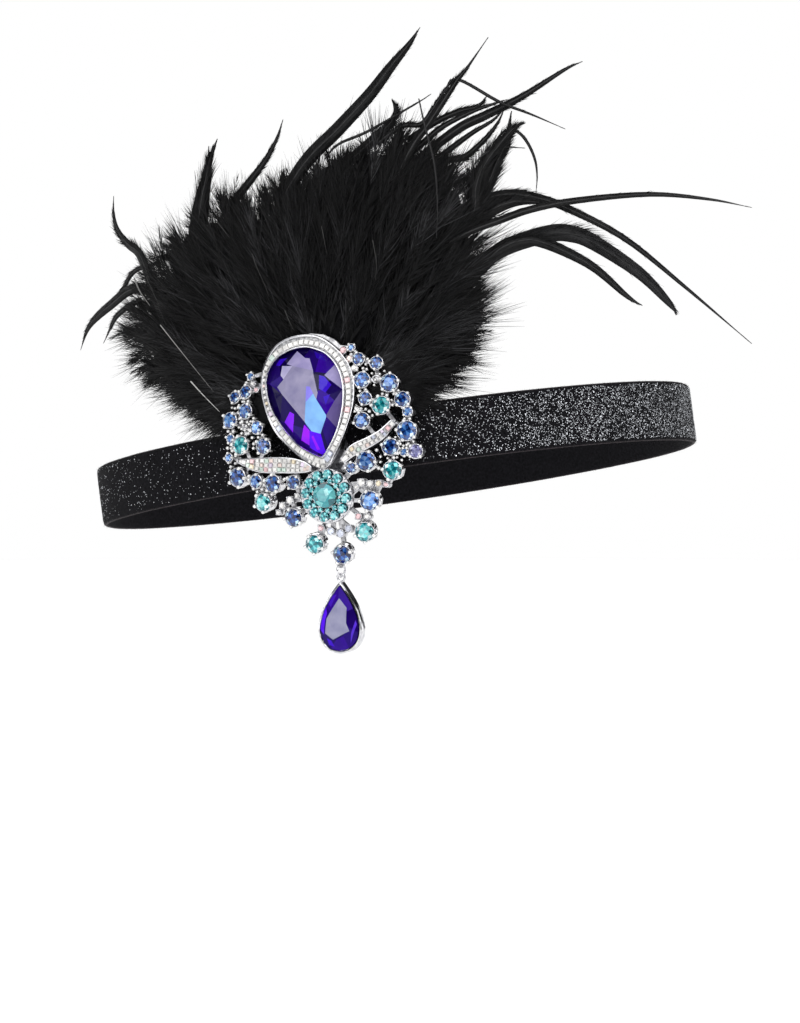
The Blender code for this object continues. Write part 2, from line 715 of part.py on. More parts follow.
def stone_rings(outline, heights):
    """Rings of a cut stone: the outline shrunk to each share about its middle, at each height."""
    middle = Vector((sum(a for a, _ in outline), sum(b for _, b in outline))) / len(outline)
    rings = []
    for share, height in heights:
        flat = [middle + (Vector(point) - middle) * share for point in outline]
        rings.append([Vector((point.x, point.y, height)) for point in flat])
    return rings


def make_pear_stone(collection, seat):
    heights = [
        (0.55, PAVE_BACK),
        (1, PAVE_FRONT + 0.1),
        (1, PAVE_FRONT + 0.5),
        (0.82, PEAR_STONE_TOP - 1.1),
        (0.55, PEAR_STONE_TOP),
    ]
    mesh = domed(loft(stone_rings(pear(PEAR_STONE, 16), heights)))
    return place("pear_stone", mesh, "violet", collection, seat)


def hanging_matrix(pitched_seat):
    """Axes of what hangs: the pivot at the eyelet's lowest wire, Z up the world, Y outwards."""
    pivot = pitched_seat @ ((eyelet_centre() - Vector((0, EYELET_RADIUS, 0))) * MM)
    outwards = (pitched_seat.to_3x3() @ Vector((0, 0, 1))).normalized()
    outwards = Vector((outwards.x, outwards.y, 0)).normalized()
    up = Vector((0, 0, 1))
    matrix = Matrix((outwards.cross(up), outwards, up)).transposed().to_4x4()
    matrix.translation = pivot
    return matrix


def make_drop(collection, helpers, pitched_seat):
    """The jump ring, and the pear drop in its bezel, hanging straight down."""
    hang = empty("drop_pivot", collection, hanging_matrix(pitched_seat))
    reach = 2 * WIRE + WIRE_CLEARANCE
    upright = Matrix.Rotation(RING_TWIST, 4, "Z") @ Matrix.Rotation(math.pi / 2, 4, "Y")
    ring_centre = Vector((0, 0, reach - RING_RADIUS)) * MM
    jump = ring(RING_RADIUS, WIRE, 14, Matrix.Translation(ring_centre) @ upright)
    place("jump_ring", jump, "silver", collection, hang)

    sway = Vector((0, 0, reach - 2 * RING_RADIUS)) * MM
    lower = empty("drop_sway_pivot", collection, Matrix.Translation(sway), hang)
    stand = Matrix.Rotation(math.pi / 2, 4, "X") @ Matrix.Rotation(math.pi, 4, "Y")
    eyelet_up = reach - EYELET_RADIUS
    top = eyelet_up - EYELET_RADIUS + 0.1
    outer = {"across": 0, "up": 0, "length": DROP_LENGTH, "width": DROP_WIDTH, "lean": 180}
    outline = [(a, b + top - DROP_LENGTH / 2) for a, b in pear(outer, 28)]
    well = dict(outer, length=DROP_LENGTH - 2.4 * DROP_RIM, width=DROP_WIDTH - 2 * DROP_RIM)
    well_outline = [(a, b + top - DROP_LENGTH / 2 - 0.2 * DROP_RIM) for a, b in pear(well, 28)]
    tray = helper("tray", slab(outline, DROP_BACK, DROP_FRONT, helpers), helpers)
    cutter = helper("well", slab(well_outline, DROP_BACK + DROP_FLOOR, DROP_FRONT + 1, helpers), helpers)
    cut = tray.modifiers.new("well", "BOOLEAN")
    cut.operation = "DIFFERENCE"
    cut.object = cutter
    cut.solver = "EXACT"
    mesh = evaluated(tray)
    bpy.data.objects.remove(cutter, do_unlink=True)
    eyelet = ring(EYELET_RADIUS, WIRE, 12, Matrix.Translation((0, eyelet_up * MM, 0)))
    bezel = fused([mesh, eyelet], helpers)
    bezel.transform(stand)
    place("drop_bezel", bezel, "silver", collection, lower)

    fit = 0.2
    inside = dict(well, length=well["length"] - 2 * fit, width=well["width"] - 2 * fit)
    stone_outline = [(a, b + top - DROP_LENGTH / 2 - 0.2 * DROP_RIM) for a, b in pear(inside, 16)]
    floor = DROP_BACK + DROP_FLOOR + 0.2
    heights = [
        (0.6, floor),
        (1, DROP_FRONT - 0.3),
        (1, DROP_FRONT),
        (0.8, DROP_STONE_TOP - 0.7),
        (0.5, DROP_STONE_TOP),
    ]
    stone = loft(stone_rings(stone_outline, heights))
    stone.transform(stand)
    place("drop_stone", stone, "violet", collection, lower)


def lens(centre, side, half_width, half_thickness, sides):
    """A flat oval ring of points round a centre, across its side direction and the depth."""
    points = []
    for index in range(sides):
        turn = 2 * math.pi * index / sides
        flat = centre.xy + side * half_width * math.cos(turn)
        depth = centre.z + half_thickness * math.sin(turn) - flat.x**2 / (2 * PLUME_WRAP_RADIUS)
        points.append(Vector((flat.x, flat.y, depth)))
    return points


def strip(path, widths, thicknesses, sides, sections):
    """A tapered lock along a path of (across, up, depth)."""
    rings = []
    for index in range(sections):
        share = index / (sections - 1)
        here = smooth(path, share)
        ahead = smooth(path, min(share + 0.03, 1)) - smooth(path, max(share - 0.03, 0))
        side = Vector((-ahead.y, ahead.x)).normalized()
        width = smooth_value(widths, share)
        thickness = smooth_value(thicknesses, share)
        rings.append(lens(here, side, width / 2, thickness / 2, sides))
    return loft(rings)


def down_lock(tip_across, tip_up, width, thickness, depth):
    """A lock of down from the pad to its tip, thin behind the brooch and full above it."""
    root = Vector((max(-8, min(8, tip_across * 0.13)), ROOT_UP, ROOT_DEPTH))
    tip = Vector((tip_across, tip_up, depth))
    waist = root + (tip - root) * 0.3
    waist.z = WAIST_DEPTH
    belly = root + (tip - root) * 0.66
    belly.z = (WAIST_DEPTH + depth) / 2
    widths = [width * share for share in LOCK_WIDTHS]
    thicknesses = [ROOT_THICKNESS] + [thickness * share for share in LOCK_THICKNESSES]
    return strip([root, waist, belly, tip], widths, thicknesses, DOWN_SIDES, DOWN_SECTIONS)


def make_plume(collection, helpers, seat):
    turns = [2 * math.pi * index / 16 for index in range(16)]
    oval = [(PAD_HALF_WIDTH * math.cos(t), PAD_UP + PAD_HALF_HEIGHT * math.sin(t)) for t in turns]
    pieces = [domed(slab(oval, PAD_BACK, PAD_FRONT, helpers))]
    pieces += [down_lock(*row) for row in DOWN_LOCKS]
    for points, width, depth in FEATHERS:
        path = [Vector((across, up, depth)) for across, up in points]
        widths = (width * 0.7, width, width * 0.8, width * 0.2)
        thin = (FEATHER_THICKNESS, FEATHER_THICKNESS, FEATHER_THICKNESS, FEATHER_THICKNESS * 0.6)
        pieces.append(strip(path, widths, thin, FEATHER_SIDES, FEATHER_SECTIONS))
    return place("feather_plume", without_slivers(fused(pieces, helpers)), "feather", collection, seat)


def main():
    clear_scene()
    collection = new_collection("flapper_headpiece")
    helpers = new_collection("helpers")
    pitch = Matrix.Rotation(-BAND_PITCH, 4, "X")
    head = empty("head_axes", collection, pitch)
    seat = empty("brooch_axes", collection, brooch_matrix(), head)
    make_headband(collection, head)
    make_clip(collection, helpers, seat)
    make_plume(collection, helpers, seat)
    make_frame(collection, helpers, seat)
    make_halo(collection, helpers, seat)
    make_pear_stone(collection, seat)
    make_flower(collection, helpers, seat)
    make_swoosh("left_swoosh_pave", LEFT_SWOOSH, collection, helpers, seat)
    make_swoosh("right_swoosh_pave", RIGHT_SWOOSH, collection, helpers, seat)
    for name, row in CRYSTAL_ROWS.items():
        make_crystal_row(name, row, collection, helpers, seat)
    make_stones(collection, seat)
    make_drop(collection, helpers, pitch @ brooch_matrix())


main()
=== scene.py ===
"""Looks of the flapper headpiece: glitter velvet band, black plume, jewelled brooch and its hanging drop."""

import json
import math

import bpy
import numpy as np
from mathutils import Matrix, Vector
from mathutils.geometry import delaunay_2d_cdt


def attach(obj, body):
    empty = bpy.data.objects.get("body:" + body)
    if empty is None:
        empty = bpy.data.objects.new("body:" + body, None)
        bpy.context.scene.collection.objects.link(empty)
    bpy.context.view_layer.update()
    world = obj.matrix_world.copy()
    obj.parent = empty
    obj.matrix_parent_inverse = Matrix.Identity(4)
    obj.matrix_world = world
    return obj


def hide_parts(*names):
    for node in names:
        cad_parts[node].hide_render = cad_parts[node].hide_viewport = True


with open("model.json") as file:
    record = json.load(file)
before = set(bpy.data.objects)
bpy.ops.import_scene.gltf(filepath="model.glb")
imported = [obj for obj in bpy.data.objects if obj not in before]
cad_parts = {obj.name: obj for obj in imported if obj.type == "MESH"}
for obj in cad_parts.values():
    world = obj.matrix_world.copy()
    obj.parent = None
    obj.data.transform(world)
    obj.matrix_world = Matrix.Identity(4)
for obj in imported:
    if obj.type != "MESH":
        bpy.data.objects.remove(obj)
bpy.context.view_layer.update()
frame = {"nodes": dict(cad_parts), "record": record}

MM = 0.001
rng = np.random.default_rng(1925)

# The frame's own sizes, in millimetres
BAND_HALF_ACROSS = 79.6
BAND_FRONT_LENGTH = 98.2
BAND_BACK_LENGTH = 92.5
BAND_FULLNESS = 2.05
BAND_WIDTH = 17.3
BAND_THICKNESS = 1.6
BAND_PITCH = math.radians(9.7)
BROOCH_TURN = math.radians(204.3)
DOME_RADIUS = 110.0
PLUME_WRAP_RADIUS = 130.0
PAVE_BACK = 6.5
PAVE_FRONT = 7.9
FLOWER_PLACE = (-0.7, -14.1)
FLOWER_RADIUS = 8.2
LARGE_STONES = ("pear_stone", "flower_stone", "drop_stone")

# Each swoosh from its left end: across, up and width there
LEFT_SWOOSH = [(-27.6, 0, 1.0), (-20.5, -2.3, 4.0), (-11.8, -3.7, 4.4), (-6.6, -4.9, 3.4), (-3.8, -5.8, 1.2)]
RIGHT_SWOOSH = [(6.0, -5.0, 1.8), (9.7, -2.4, 3.0), (14.2, -0.9, 2.9), (18.4, 0.9, 2.6), (22.2, 3.9, 1.8)]

# The photograph's view, fitted to the band: angles, distance and aim in metres
VIEW_AZIMUTH = math.radians(-50)
VIEW_ELEVATION = math.radians(3.084)
VIEW_DISTANCE = 1.4
VIEW_RIGHT = 0.003761
VIEW_UP = -0.016054
LENS = 161.65
SENSOR = 36.0


# Places: the band, the brooch's axes and the plume's surface


def unit(vectors):
    """Vectors of the last axis, each made one long."""
    return vectors / np.linalg.norm(vectors, axis=-1, keepdims=True)


def band_point(turn):
    """Points on the band's middle line before it is pitched, for an array of turns."""
    cosine, sine = np.cos(turn), np.sin(turn)
    length = np.where(sine > 0, BAND_BACK_LENGTH, BAND_FRONT_LENGTH)
    reach = (np.abs(cosine) ** BAND_FULLNESS + np.abs(sine) ** BAND_FULLNESS) ** (-1 / BAND_FULLNESS)
    return np.stack([BAND_HALF_ACROSS * reach * cosine, length * reach * sine, np.zeros_like(cosine)], -1)


def pitched(points):
    """Points of the level band turned to the pitch that it is worn at."""
    cosine, sine = math.cos(BAND_PITCH), math.sin(BAND_PITCH)
    x, y, z = np.moveaxis(np.asarray(points, float), -1, 0)
    return np.stack([x, y * cosine + z * sine, z * cosine - y * sine], -1)


SEAT = pitched(band_point(np.array(BROOCH_TURN)))
ACROSS = unit(pitched(band_point(np.array(BROOCH_TURN + 0.001))) - SEAT)
UP = pitched([0.0, 0.0, 1.0])
OUT = np.cross(ACROSS, UP)
AXES = np.array([ACROSS, UP, OUT])


def from_brooch(points):
    """Brooch coordinates (across, up, out) in millimetres to the frame in millimetres."""
    return SEAT + points @ AXES


def node_points(name):
    """The corners of a solid of the frame, in brooch coordinates."""
    corners = np.array([vertex.co for vertex in frame["nodes"][name].data.vertices]) / MM
    return (corners - SEAT) @ AXES.T


def sag(across, up):
    """How far the brooch's dome falls back at a place."""
    return (across**2 + up**2) / (2 * DOME_RADIUS)


def dome_normal(across, up):
    return unit(np.array([across / DOME_RADIUS, up / DOME_RADIUS, 1.0]))


def domed(points):
    """Flat brooch coordinates pressed to the dome, in the frame."""
    points = np.array(points, float)
    points[..., 2] -= sag(points[..., 0], points[..., 1])
    return from_brooch(points)


def wrapped(points):
    """Flat plume coordinates bent round with the band, in the frame."""
    points = np.array(points, float)
    points[..., 2] -= points[..., 0] ** 2 / (2 * PLUME_WRAP_RADIUS)
    return from_brooch(points)


def tilted(local, across, up, height):
    """A small piece's own points on the dome, tilted as the dome is there."""
    outwards = dome_normal(across, up)
    side = unit(np.cross([0.0, 1.0, 0.0], outwards))
    turn = np.array([side, np.cross(outwards, side), outwards])
    return from_brooch(local @ turn + [across, up, height - sag(across, up)])


# Outlines and lines


def around(sides):
    """Evenly spaced turns of a whole circle."""
    return np.linspace(0, 2 * math.pi, sides, endpoint=False)


def polar(middle, radius, turn):
    """Places at a distance and a turn from a middle, across and up."""
    return np.stack([middle[0] + radius * np.cos(turn), middle[1] + radius * np.sin(turn)], -1)


def circle(middle, radius, sides):
    return polar(middle, radius, around(sides))


def pear(length, width, sides):
    """A pear's outline round its middle, point up, from the point round."""
    turn = around(sides)
    widest = 4 / (3 * math.sqrt(3))
    side = width / 2 * np.sin(turn) * np.sin(turn / 2) / widest
    return np.stack([side, length / 2 * np.cos(turn)], -1)


def at_level(outline, height):
    return np.c_[outline, np.full(len(outline), height)]


def ring_at(radius, height, turns):
    return at_level(polar((0, 0), radius, turns), height)


def twice_area(outline):
    """Twice the area inside an outline, positive where it runs anticlockwise."""
    x, y = np.array(outline, float).T
    return (x * np.roll(y, -1) - y * np.roll(x, -1)).sum()


def anticlockwise(polygon):
    """A polygon's corners in the order that the triangulation needs."""
    return [tuple(point) for point in (polygon if twice_area(polygon) > 0 else polygon[::-1])]


def normals_2d(outline):
    """Outward normals of a closed outline that runs anticlockwise or clockwise."""
    ahead = np.roll(outline, -1, 0) - np.roll(outline, 1, 0)
    return unit(np.stack([ahead[:, 1], -ahead[:, 0]], -1)) * np.sign(twice_area(outline))


def left_normals(line):
    """Directions to the left of an open line."""
    ahead = np.gradient(line, axis=0)
    return unit(np.stack([-ahead[:, 1], ahead[:, 0]], -1))


def run_of(line):
    """Length of a line from its start to each of its points."""
    return np.concatenate([[0], np.cumsum(np.linalg.norm(np.diff(line, axis=0), axis=1))])


def along(line, spacing):
    """Evenly spaced points on a line, in the middle of equal stretches."""
    run = run_of(line)
    count = max(2, int(round(run[-1] / spacing)))
    spots = (np.arange(count) + 0.5) * run[-1] / count
    return np.stack([np.interp(spots, run, column) for column in line.T], -1)


def smooth_line(points, shares):
    """Points on the Catmull-Rom curve through the given ones, at shares of its length."""
    points = np.asarray(points, float)
    last = len(points) - 1
    padded = np.concatenate([[2 * points[0] - points[1]], points, [2 * points[-1] - points[-2]]])
    spot = np.clip(np.asarray(shares, float) * last, 0, last - 1e-9)
    index = spot.astype(int)
    t = (spot - index)[..., None]
    p0, p1, p2, p3 = (padded[index + k] for k in range(4))
    square = (2 * p0 - 5 * p1 + 4 * p2 - p3) * t**2
    cube = (3 * p1 - p0 - 3 * p2 + p3) * t**3
    return 0.5 * (2 * p1 + (p2 - p0) * t + square + cube)


def smooth_loop(points, count):
    """A closed smooth outline through the given points."""
    points = np.asarray(points, float)
    padded = np.concatenate([points[-2:], points, points[:3]])
    return smooth_line(padded, np.linspace(2, 2 + len(points), count, endpoint=False) / (len(padded) - 1))


# Mesh building


class Soup:
    """Points and faces gathered into one mesh, with a tint for each face."""

    def __init__(self):
        self.points, self.faces, self.tints, self.count = [], [], [], 0

    def add(self, points, faces, tint=(1, 1, 1)):
        self.points.append(np.asarray(points, float).reshape(-1, 3))
        self.faces += [tuple(int(i) + self.count for i in face) for face in faces]
        self.tints.append(np.broadcast_to(np.asarray(tint, float), (len(faces), 3)))
        self.count += len(self.points[-1])

    def put(self, shape, across, up, height):
        """A small shape, which is its points, its faces and perhaps its tints, set on the dome."""
        self.add(tilted(shape[0], across, up, height), *shape[1:])

    def made(self, name, look, smooth=False):
        mesh = bpy.data.meshes.new(name)
        mesh.from_pydata((np.concatenate(self.points) * MM).tolist(), [], self.faces)
        return finished(name, mesh, look, np.concatenate(self.tints), smooth)


def finished(name, mesh, look, tints=None, smooth=False):
    """A mesh as a piece of the scene, with its look and its faces' tints."""
    if tints is not None:
        layer = mesh.attributes.new("tint", "FLOAT_COLOR", "FACE")
        rows = np.ones((len(tints), 4), np.float32)
        rows[:, :3] = tints
        layer.data.foreach_set("color", rows.ravel())
    mesh.materials.append(look)
    mesh.polygons.foreach_set("use_smooth", np.full(len(mesh.polygons), smooth))
    mesh.update()
    piece = bpy.data.objects.new(name, mesh)
    bpy.context.scene.collection.objects.link(piece)
    return piece


def big_mesh(name, points, faces, look, tints=None, smooth=False):
    """A mesh straight from arrays, for many thousands of faces of one kind."""
    faces = np.ascontiguousarray(faces, np.int32)
    mesh = bpy.data.meshes.new(name)
    mesh.vertices.add(len(points))
    mesh.vertices.foreach_set("co", (points * MM).astype(np.float32).ravel())
    mesh.loops.add(faces.size)
    mesh.loops.foreach_set("vertex_index", faces.ravel())
    mesh.polygons.add(len(faces))
    mesh.polygons.foreach_set("loop_start", np.arange(len(faces), dtype=np.int32) * faces.shape[1])
    mesh.update(calc_edges=True)
    return finished(name, mesh, look, tints, smooth)


def shade_sharp(piece):
    piece.data.set_sharp_from_angle(angle=math.radians(40))


def grid_faces(rows, columns, wrap_rows=False, wrap_columns=False):
    """Quads between neighbouring rows of points."""
    across = np.arange(columns if wrap_columns else columns - 1)
    down = np.arange(rows if wrap_rows else rows - 1)
    i, j = np.meshgrid(down, across, indexing="ij")
    k, m = (i + 1) % rows, (j + 1) % columns
    return np.stack([i * columns + j, i * columns + m, k * columns + m, k * columns + j], -1).reshape(-1, 4)


def downward_faces(rows, columns):
    """Faces between rings of points that lie one below the other, open at the top and the bottom."""
    return [tuple(face[::-1]) for face in grid_faces(rows, columns, False, True)]


def capped_faces(rows, columns):
    """Faces between rings of points that lie one above the other, closed at both ends."""
    last = (rows - 1) * columns
    caps = [tuple(reversed(range(columns))), tuple(range(last, last + columns))]
    return [tuple(face) for face in grid_faces(rows, columns, False, True)] + caps


def rim(soup, outline, profile):
    """A closed moulding on the dome: a profile of (out, height) run round an outline."""
    profile = np.asarray(profile, float)
    profile = np.broadcast_to(profile, (len(outline), *profile.shape[-2:]))
    flat = outline[:, None] + normals_2d(outline)[:, None] * profile[..., :1]
    points = domed(np.concatenate([flat, profile[..., 1:]], -1))
    soup.add(points, grid_faces(*profile.shape[:2], True, True))


def ball(radius, rings=5, sides=8):
    """A small ball's points and faces, with shared poles."""
    tilts = np.linspace(0, math.pi, rings + 1)[1:-1]
    body = np.concatenate([ring_at(math.sin(tilt), math.cos(tilt), around(sides)) for tilt in tilts])
    points = np.concatenate([body, [[0, 0, 1], [0, 0, -1]]]) * radius
    top, low, last = len(body), len(body) + 1, (rings - 2) * sides
    faces = downward_faces(rings - 1, sides)
    faces += [(top, i, (i + 1) % sides) for i in range(sides)]
    faces += [(low, last + (i + 1) % sides, last + i) for i in range(sides)]
    return points, faces


def post(low, high, radius, sides=6):
    """A closed post between two points, one above the other."""
    ring = ring_at(radius, 0, around(sides))
    return np.concatenate([ring + low, ring + high]), capped_faces(2, sides)


def tube(path, radius, sides, closed=True):
    """A wire along a closed or open path of points in the frame, in millimetres."""
    ahead = np.roll(path, -1, 0) - np.roll(path, 1, 0)
    if not closed:
        ahead[0], ahead[-1] = path[1] - path[0], path[-1] - path[-2]
    ahead = unit(ahead)
    aside = unit(np.cross(ahead, path - path.mean(0)))
    turn = around(sides)[:, None]
    ring = aside[:, None] * np.cos(turn) + np.cross(ahead, aside)[:, None] * np.sin(turn)
    return path[:, None] + ring * radius, grid_faces(len(path), sides, closed, True)


# Materials

# Each look's roughness, metalness, specular level and coat (weight, roughness, IOR), and if it shows tints.
# Grain is features to the metre, detail and two stops of shade. Bump is strength and depth in metres.
LOOKS = {
    "velvet": dict(
        rough=0.9, specular=0.1, bump=(0.5, 0.0003),
        grain=(1400, 4, (0.3, 0.0015, 0.0015, 0.002), (0.75, 0.009, 0.0085, 0.011)),
    ),
    "selvedge": dict(
        rough=0.7, specular=0.15, bump=(0.6, 0.0002),
        grain=(2500, 2, (0.3, 0.006, 0.005, 0.006), (0.7, 0.04, 0.03, 0.035)),
    ),
    "glitter": dict(rough=0.3, metal=0.9, tinted=True),
    "down": dict(rough=0.42, specular=0.13, tinted=True),
    "vane": dict(
        rough=0.45, specular=0.25, tinted=True, bump=(0.4, 0.0003),
        grain=(1500, 3, (0.35, 0.45, 0.45, 0.45), (0.65, 1, 1, 1)),
    ),
    "plume_core": dict(
        rough=0.9, specular=0.1, bump=(0.8, 0.002),
        grain=(500, 5, (0.3, 0.0015, 0.0015, 0.002), (0.8, 0.008, 0.008, 0.009)),
    ),
    "silver": dict(
        rough=0.14, metal=1.0, bump=(0.08, 0.0002),
        grain=(900, 4, (0.3, 0.5, 0.5, 0.53), (0.65, 0.84, 0.84, 0.86)),
    ),
    # The frame's silver is painted darker than the rest, as shade in the gaps between the stones
    "shaded_frame_silver": dict(
        rough=0.28, metal=1.0, bump=(0.2, 0.0003),
        grain=(700, 4, (0.3, 0.22, 0.22, 0.23), (0.65, 0.68, 0.68, 0.7)),
    ),
    "bead_silver": dict(
        rough=0.16, metal=0.65, bump=(0.08, 0.0002),
        grain=(1200, 3, (0.3, 0.7, 0.7, 0.71), (0.65, 0.98, 0.97, 0.95)),
    ),
    # The floor under the small crystals is painted darker, as shade in the gaps between them
    "shaded_pave_floor": dict(
        rough=0.35, metal=0.7, bump=(0.5, 0.0002),
        grain=(1600, 3, (0.35, 0.2, 0.2, 0.21), (0.7, 0.72, 0.72, 0.73)),
    ),
    "gem": dict(
        rough=0.08, metal=0.35, coat=(1.0, 0.02, 1.6), tinted=True,
        grain=(900, 2, (0.3, 0.7, 0.7, 0.78), (0.65, 1, 1, 1)),
    ),
    "crystal": dict(rough=0.1, metal=0.05, coat=(1.0, 0.02, 1.8), tinted=True),
    "pear_glass": dict(
        rough=0.08, specular=0.08, coat=(0.12, 0.02, 1.35), tinted=True,
        grain=(220, 3, (0.3, 0.7, 0.7, 0.8), (0.6, 1, 1, 1)),
    ),
    "quill": dict(rough=0.4, tinted=True),
    "pale_floor": dict(rough=0.7, grain=(3, 2, (0.3, 0.95, 0.95, 0.95), (0.7, 0.97, 0.97, 0.97))),
}


def node(tree, kind, links=(), **settings):
    """A node with its sockets or properties set, and its inputs linked where links say so."""
    made = tree.nodes.new(kind)
    for key, value in settings.items():
        if key in made.inputs:
            made.inputs[key].default_value = value
        else:
            setattr(made, key, value)
    for socket, source in links:
        tree.links.new(source, made.inputs[socket])
    return made


def ramp(tree, factor, stops):
    """Shades by a factor, from stops of (position, red, green, blue)."""
    made = node(tree, "ShaderNodeValToRGB", [("Fac", factor)])
    elements = made.color_ramp.elements
    while len(elements) < len(stops):
        elements.new(0.5)
    for element, (position, *colour) in zip(elements, stops):
        element.position = position
        element.color = (*colour, 1)
    return made.outputs["Color"]


def make_look(name, rough, metal=0.0, specular=0.5, coat=None, tinted=False, grain=None, bump=None):
    made = bpy.data.materials.new(name)
    made.use_nodes = True
    tree = made.node_tree
    shader = tree.nodes["Principled BSDF"]
    values = {"Roughness": rough, "Metallic": metal, "Specular IOR Level": specular}
    if coat:
        values.update(zip(("Coat Weight", "Coat Roughness", "Coat IOR"), coat))
    for socket, value in values.items():
        shader.inputs[socket].default_value = value
    if tinted:
        colour = node(tree, "ShaderNodeAttribute", attribute_name="tint").outputs["Color"]
    if grain:
        scale, detail, *stops = grain
        place = node(tree, "ShaderNodeTexCoord").outputs["Object"]
        noise = node(tree, "ShaderNodeTexNoise", [("Vector", place)], Scale=scale, Detail=detail)
        shade = ramp(tree, noise.outputs["Fac"], stops)
        if tinted:
            mix = node(tree, "ShaderNodeMix", data_type="RGBA", blend_type="MULTIPLY")
            mix.inputs["Factor"].default_value = 1
            tree.links.new(colour, mix.inputs["A"])
            tree.links.new(shade, mix.inputs["B"])
            shade = mix.outputs["Result"]
        colour = shade
    tree.links.new(colour, shader.inputs["Base Color"])
    if bump:
        height = [("Height", noise.outputs["Fac"])]
        lumps = node(tree, "ShaderNodeBump", height, Strength=bump[0], Distance=bump[1])
        tree.links.new(lumps.outputs["Normal"], shader.inputs["Normal"])
    return made


# Headband

BAND_SECTIONS = 480
FLECK_TRIES = 64000
FLECK_LIFT = 0.12
FLECK_MARGIN = 0.7
PILE_HAIRS = 9000
HAIR_WIDTH = 0.045
SELVEDGE_RADIUS = 0.42
SELVEDGE_INSET = 0.28


def band_surface(turns, out, height):
    """Points at a distance out from the middle line and a height up the band, and the way out there."""
    ahead = band_point(turns + 1e-4) - band_point(turns - 1e-4)
    normal = unit(np.stack([ahead[:, 1], -ahead[:, 0], np.zeros(len(turns))], -1))
    ripple = 0.1 * np.sin(turns * 11 + 1) + 0.08 * np.sin(turns * 23)
    points = band_point(turns) + normal * (out + ripple)[:, None]
    points[:, 2] += height
    return pitched(points), pitched(normal)


def make_band(looks):
    half, wall = BAND_WIDTH / 2, BAND_THICKNESS / 2
    # Right half of the section from the bottom to the top; the left half mirrors it
    right = [(0.35, -half + 0.1), (wall - 0.15, -half + 0.5), (wall, -half + 1.6), (wall + 0.05, 0)]
    right += [(wall, half - 1.6), (wall - 0.15, half - 0.5), (0.35, half - 0.1)]
    profile = right + [(-out, height) for out, height in reversed(right)]
    turns = around(BAND_SECTIONS)
    points = np.stack([band_surface(turns, out, height)[0] for out, height in profile], 1).reshape(-1, 3)
    faces = grid_faces(BAND_SECTIONS, len(profile), True, True)[:, ::-1]
    band = big_mesh("velvet_band", points, faces, looks["velvet"], smooth=True)
    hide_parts("headband")

    edges = Soup()
    for side in (-1, 1):
        line = band_surface(turns, 0.05 * np.sin(turns * 90), side * (half - SELVEDGE_INSET))[0]
        edges.add(*tube(line, SELVEDGE_RADIUS, 6))
    trim = edges.made("band_selvedge", looks["selvedge"], True)
    flecks = make_flecks(looks)
    fuzz = make_fuzz(looks)
    laid_on = [trim, flecks, fuzz]
    return [band] + laid_on


def fleck_density_with_painted_glints(turn):
    """Share of the flecks that stay: dense at the front of the near side, sparse at the back; the extra
    flecks at the front are painted glints where the light catches the glitter.
    """
    apart = np.angle(np.exp(1j * (turn - math.radians(282))))
    broad = np.exp(-((apart / 0.95) ** 4))
    front = np.exp(-(((apart - 0.35) / 0.5) ** 2))
    return 0.06 + 0.5 * broad + 0.36 * front


def make_flecks(looks):
    turn = rng.uniform(0, 2 * math.pi, FLECK_TRIES)
    # More flecks stay at the front: painted glints where the light catches the glitter
    turn = turn[rng.uniform(0, 1, FLECK_TRIES) < fleck_density_with_painted_glints(turn)]
    count = len(turn)
    height = rng.uniform(-1, 1, count) * (BAND_WIDTH / 2 - FLECK_MARGIN)
    centre, normal = band_surface(turn, BAND_THICKNESS / 2 + FLECK_LIFT, height)
    normal = unit(normal + rng.normal(0, 0.28, (count, 3)))
    side = unit(np.cross(normal, rng.normal(0, 1, (count, 3))))
    other = np.cross(normal, side)
    size = rng.uniform(0.08, 0.2, count)[:, None, None]
    points = (centre[:, None] + np.stack([side, other, -side, -other], 1) * size).reshape(-1, 3)
    shade = rng.uniform(0.35, 1.0, count) ** 1.4
    tints = shade[:, None] * [0.92, 0.95, 1.0]
    return big_mesh("band_glitter", points, np.arange(count * 4).reshape(-1, 4), looks["glitter"], tints)


def make_fuzz(looks):
    """Short pile that stands past the band's two edges."""
    count = PILE_HAIRS
    turn = rng.uniform(0, 2 * math.pi, count)
    side = rng.choice([-1.0, 1.0], count)
    out = rng.uniform(-0.5, 0.75, count)
    height = side * (BAND_WIDTH / 2 - rng.uniform(0.1, 0.5, count))
    root, normal = band_surface(turn, out, height)
    lean = normal * rng.uniform(-0.2, 0.9, count)[:, None] + UP * side[:, None]
    lean = unit(lean + rng.normal(0, 0.35, (count, 3)))
    aside = unit(np.cross(lean, normal))
    tip = root + lean * rng.uniform(0.3, 0.8, count)[:, None]
    points = np.stack([root - aside * HAIR_WIDTH, root + aside * HAIR_WIDTH, tip], 1).reshape(-1, 3)
    shade = rng.uniform(0.01, 0.05, count)[:, None] * np.ones(3)
    return big_mesh("band_pile", points, np.arange(count * 3).reshape(-1, 3), looks["down"], shade)


# Cut stones

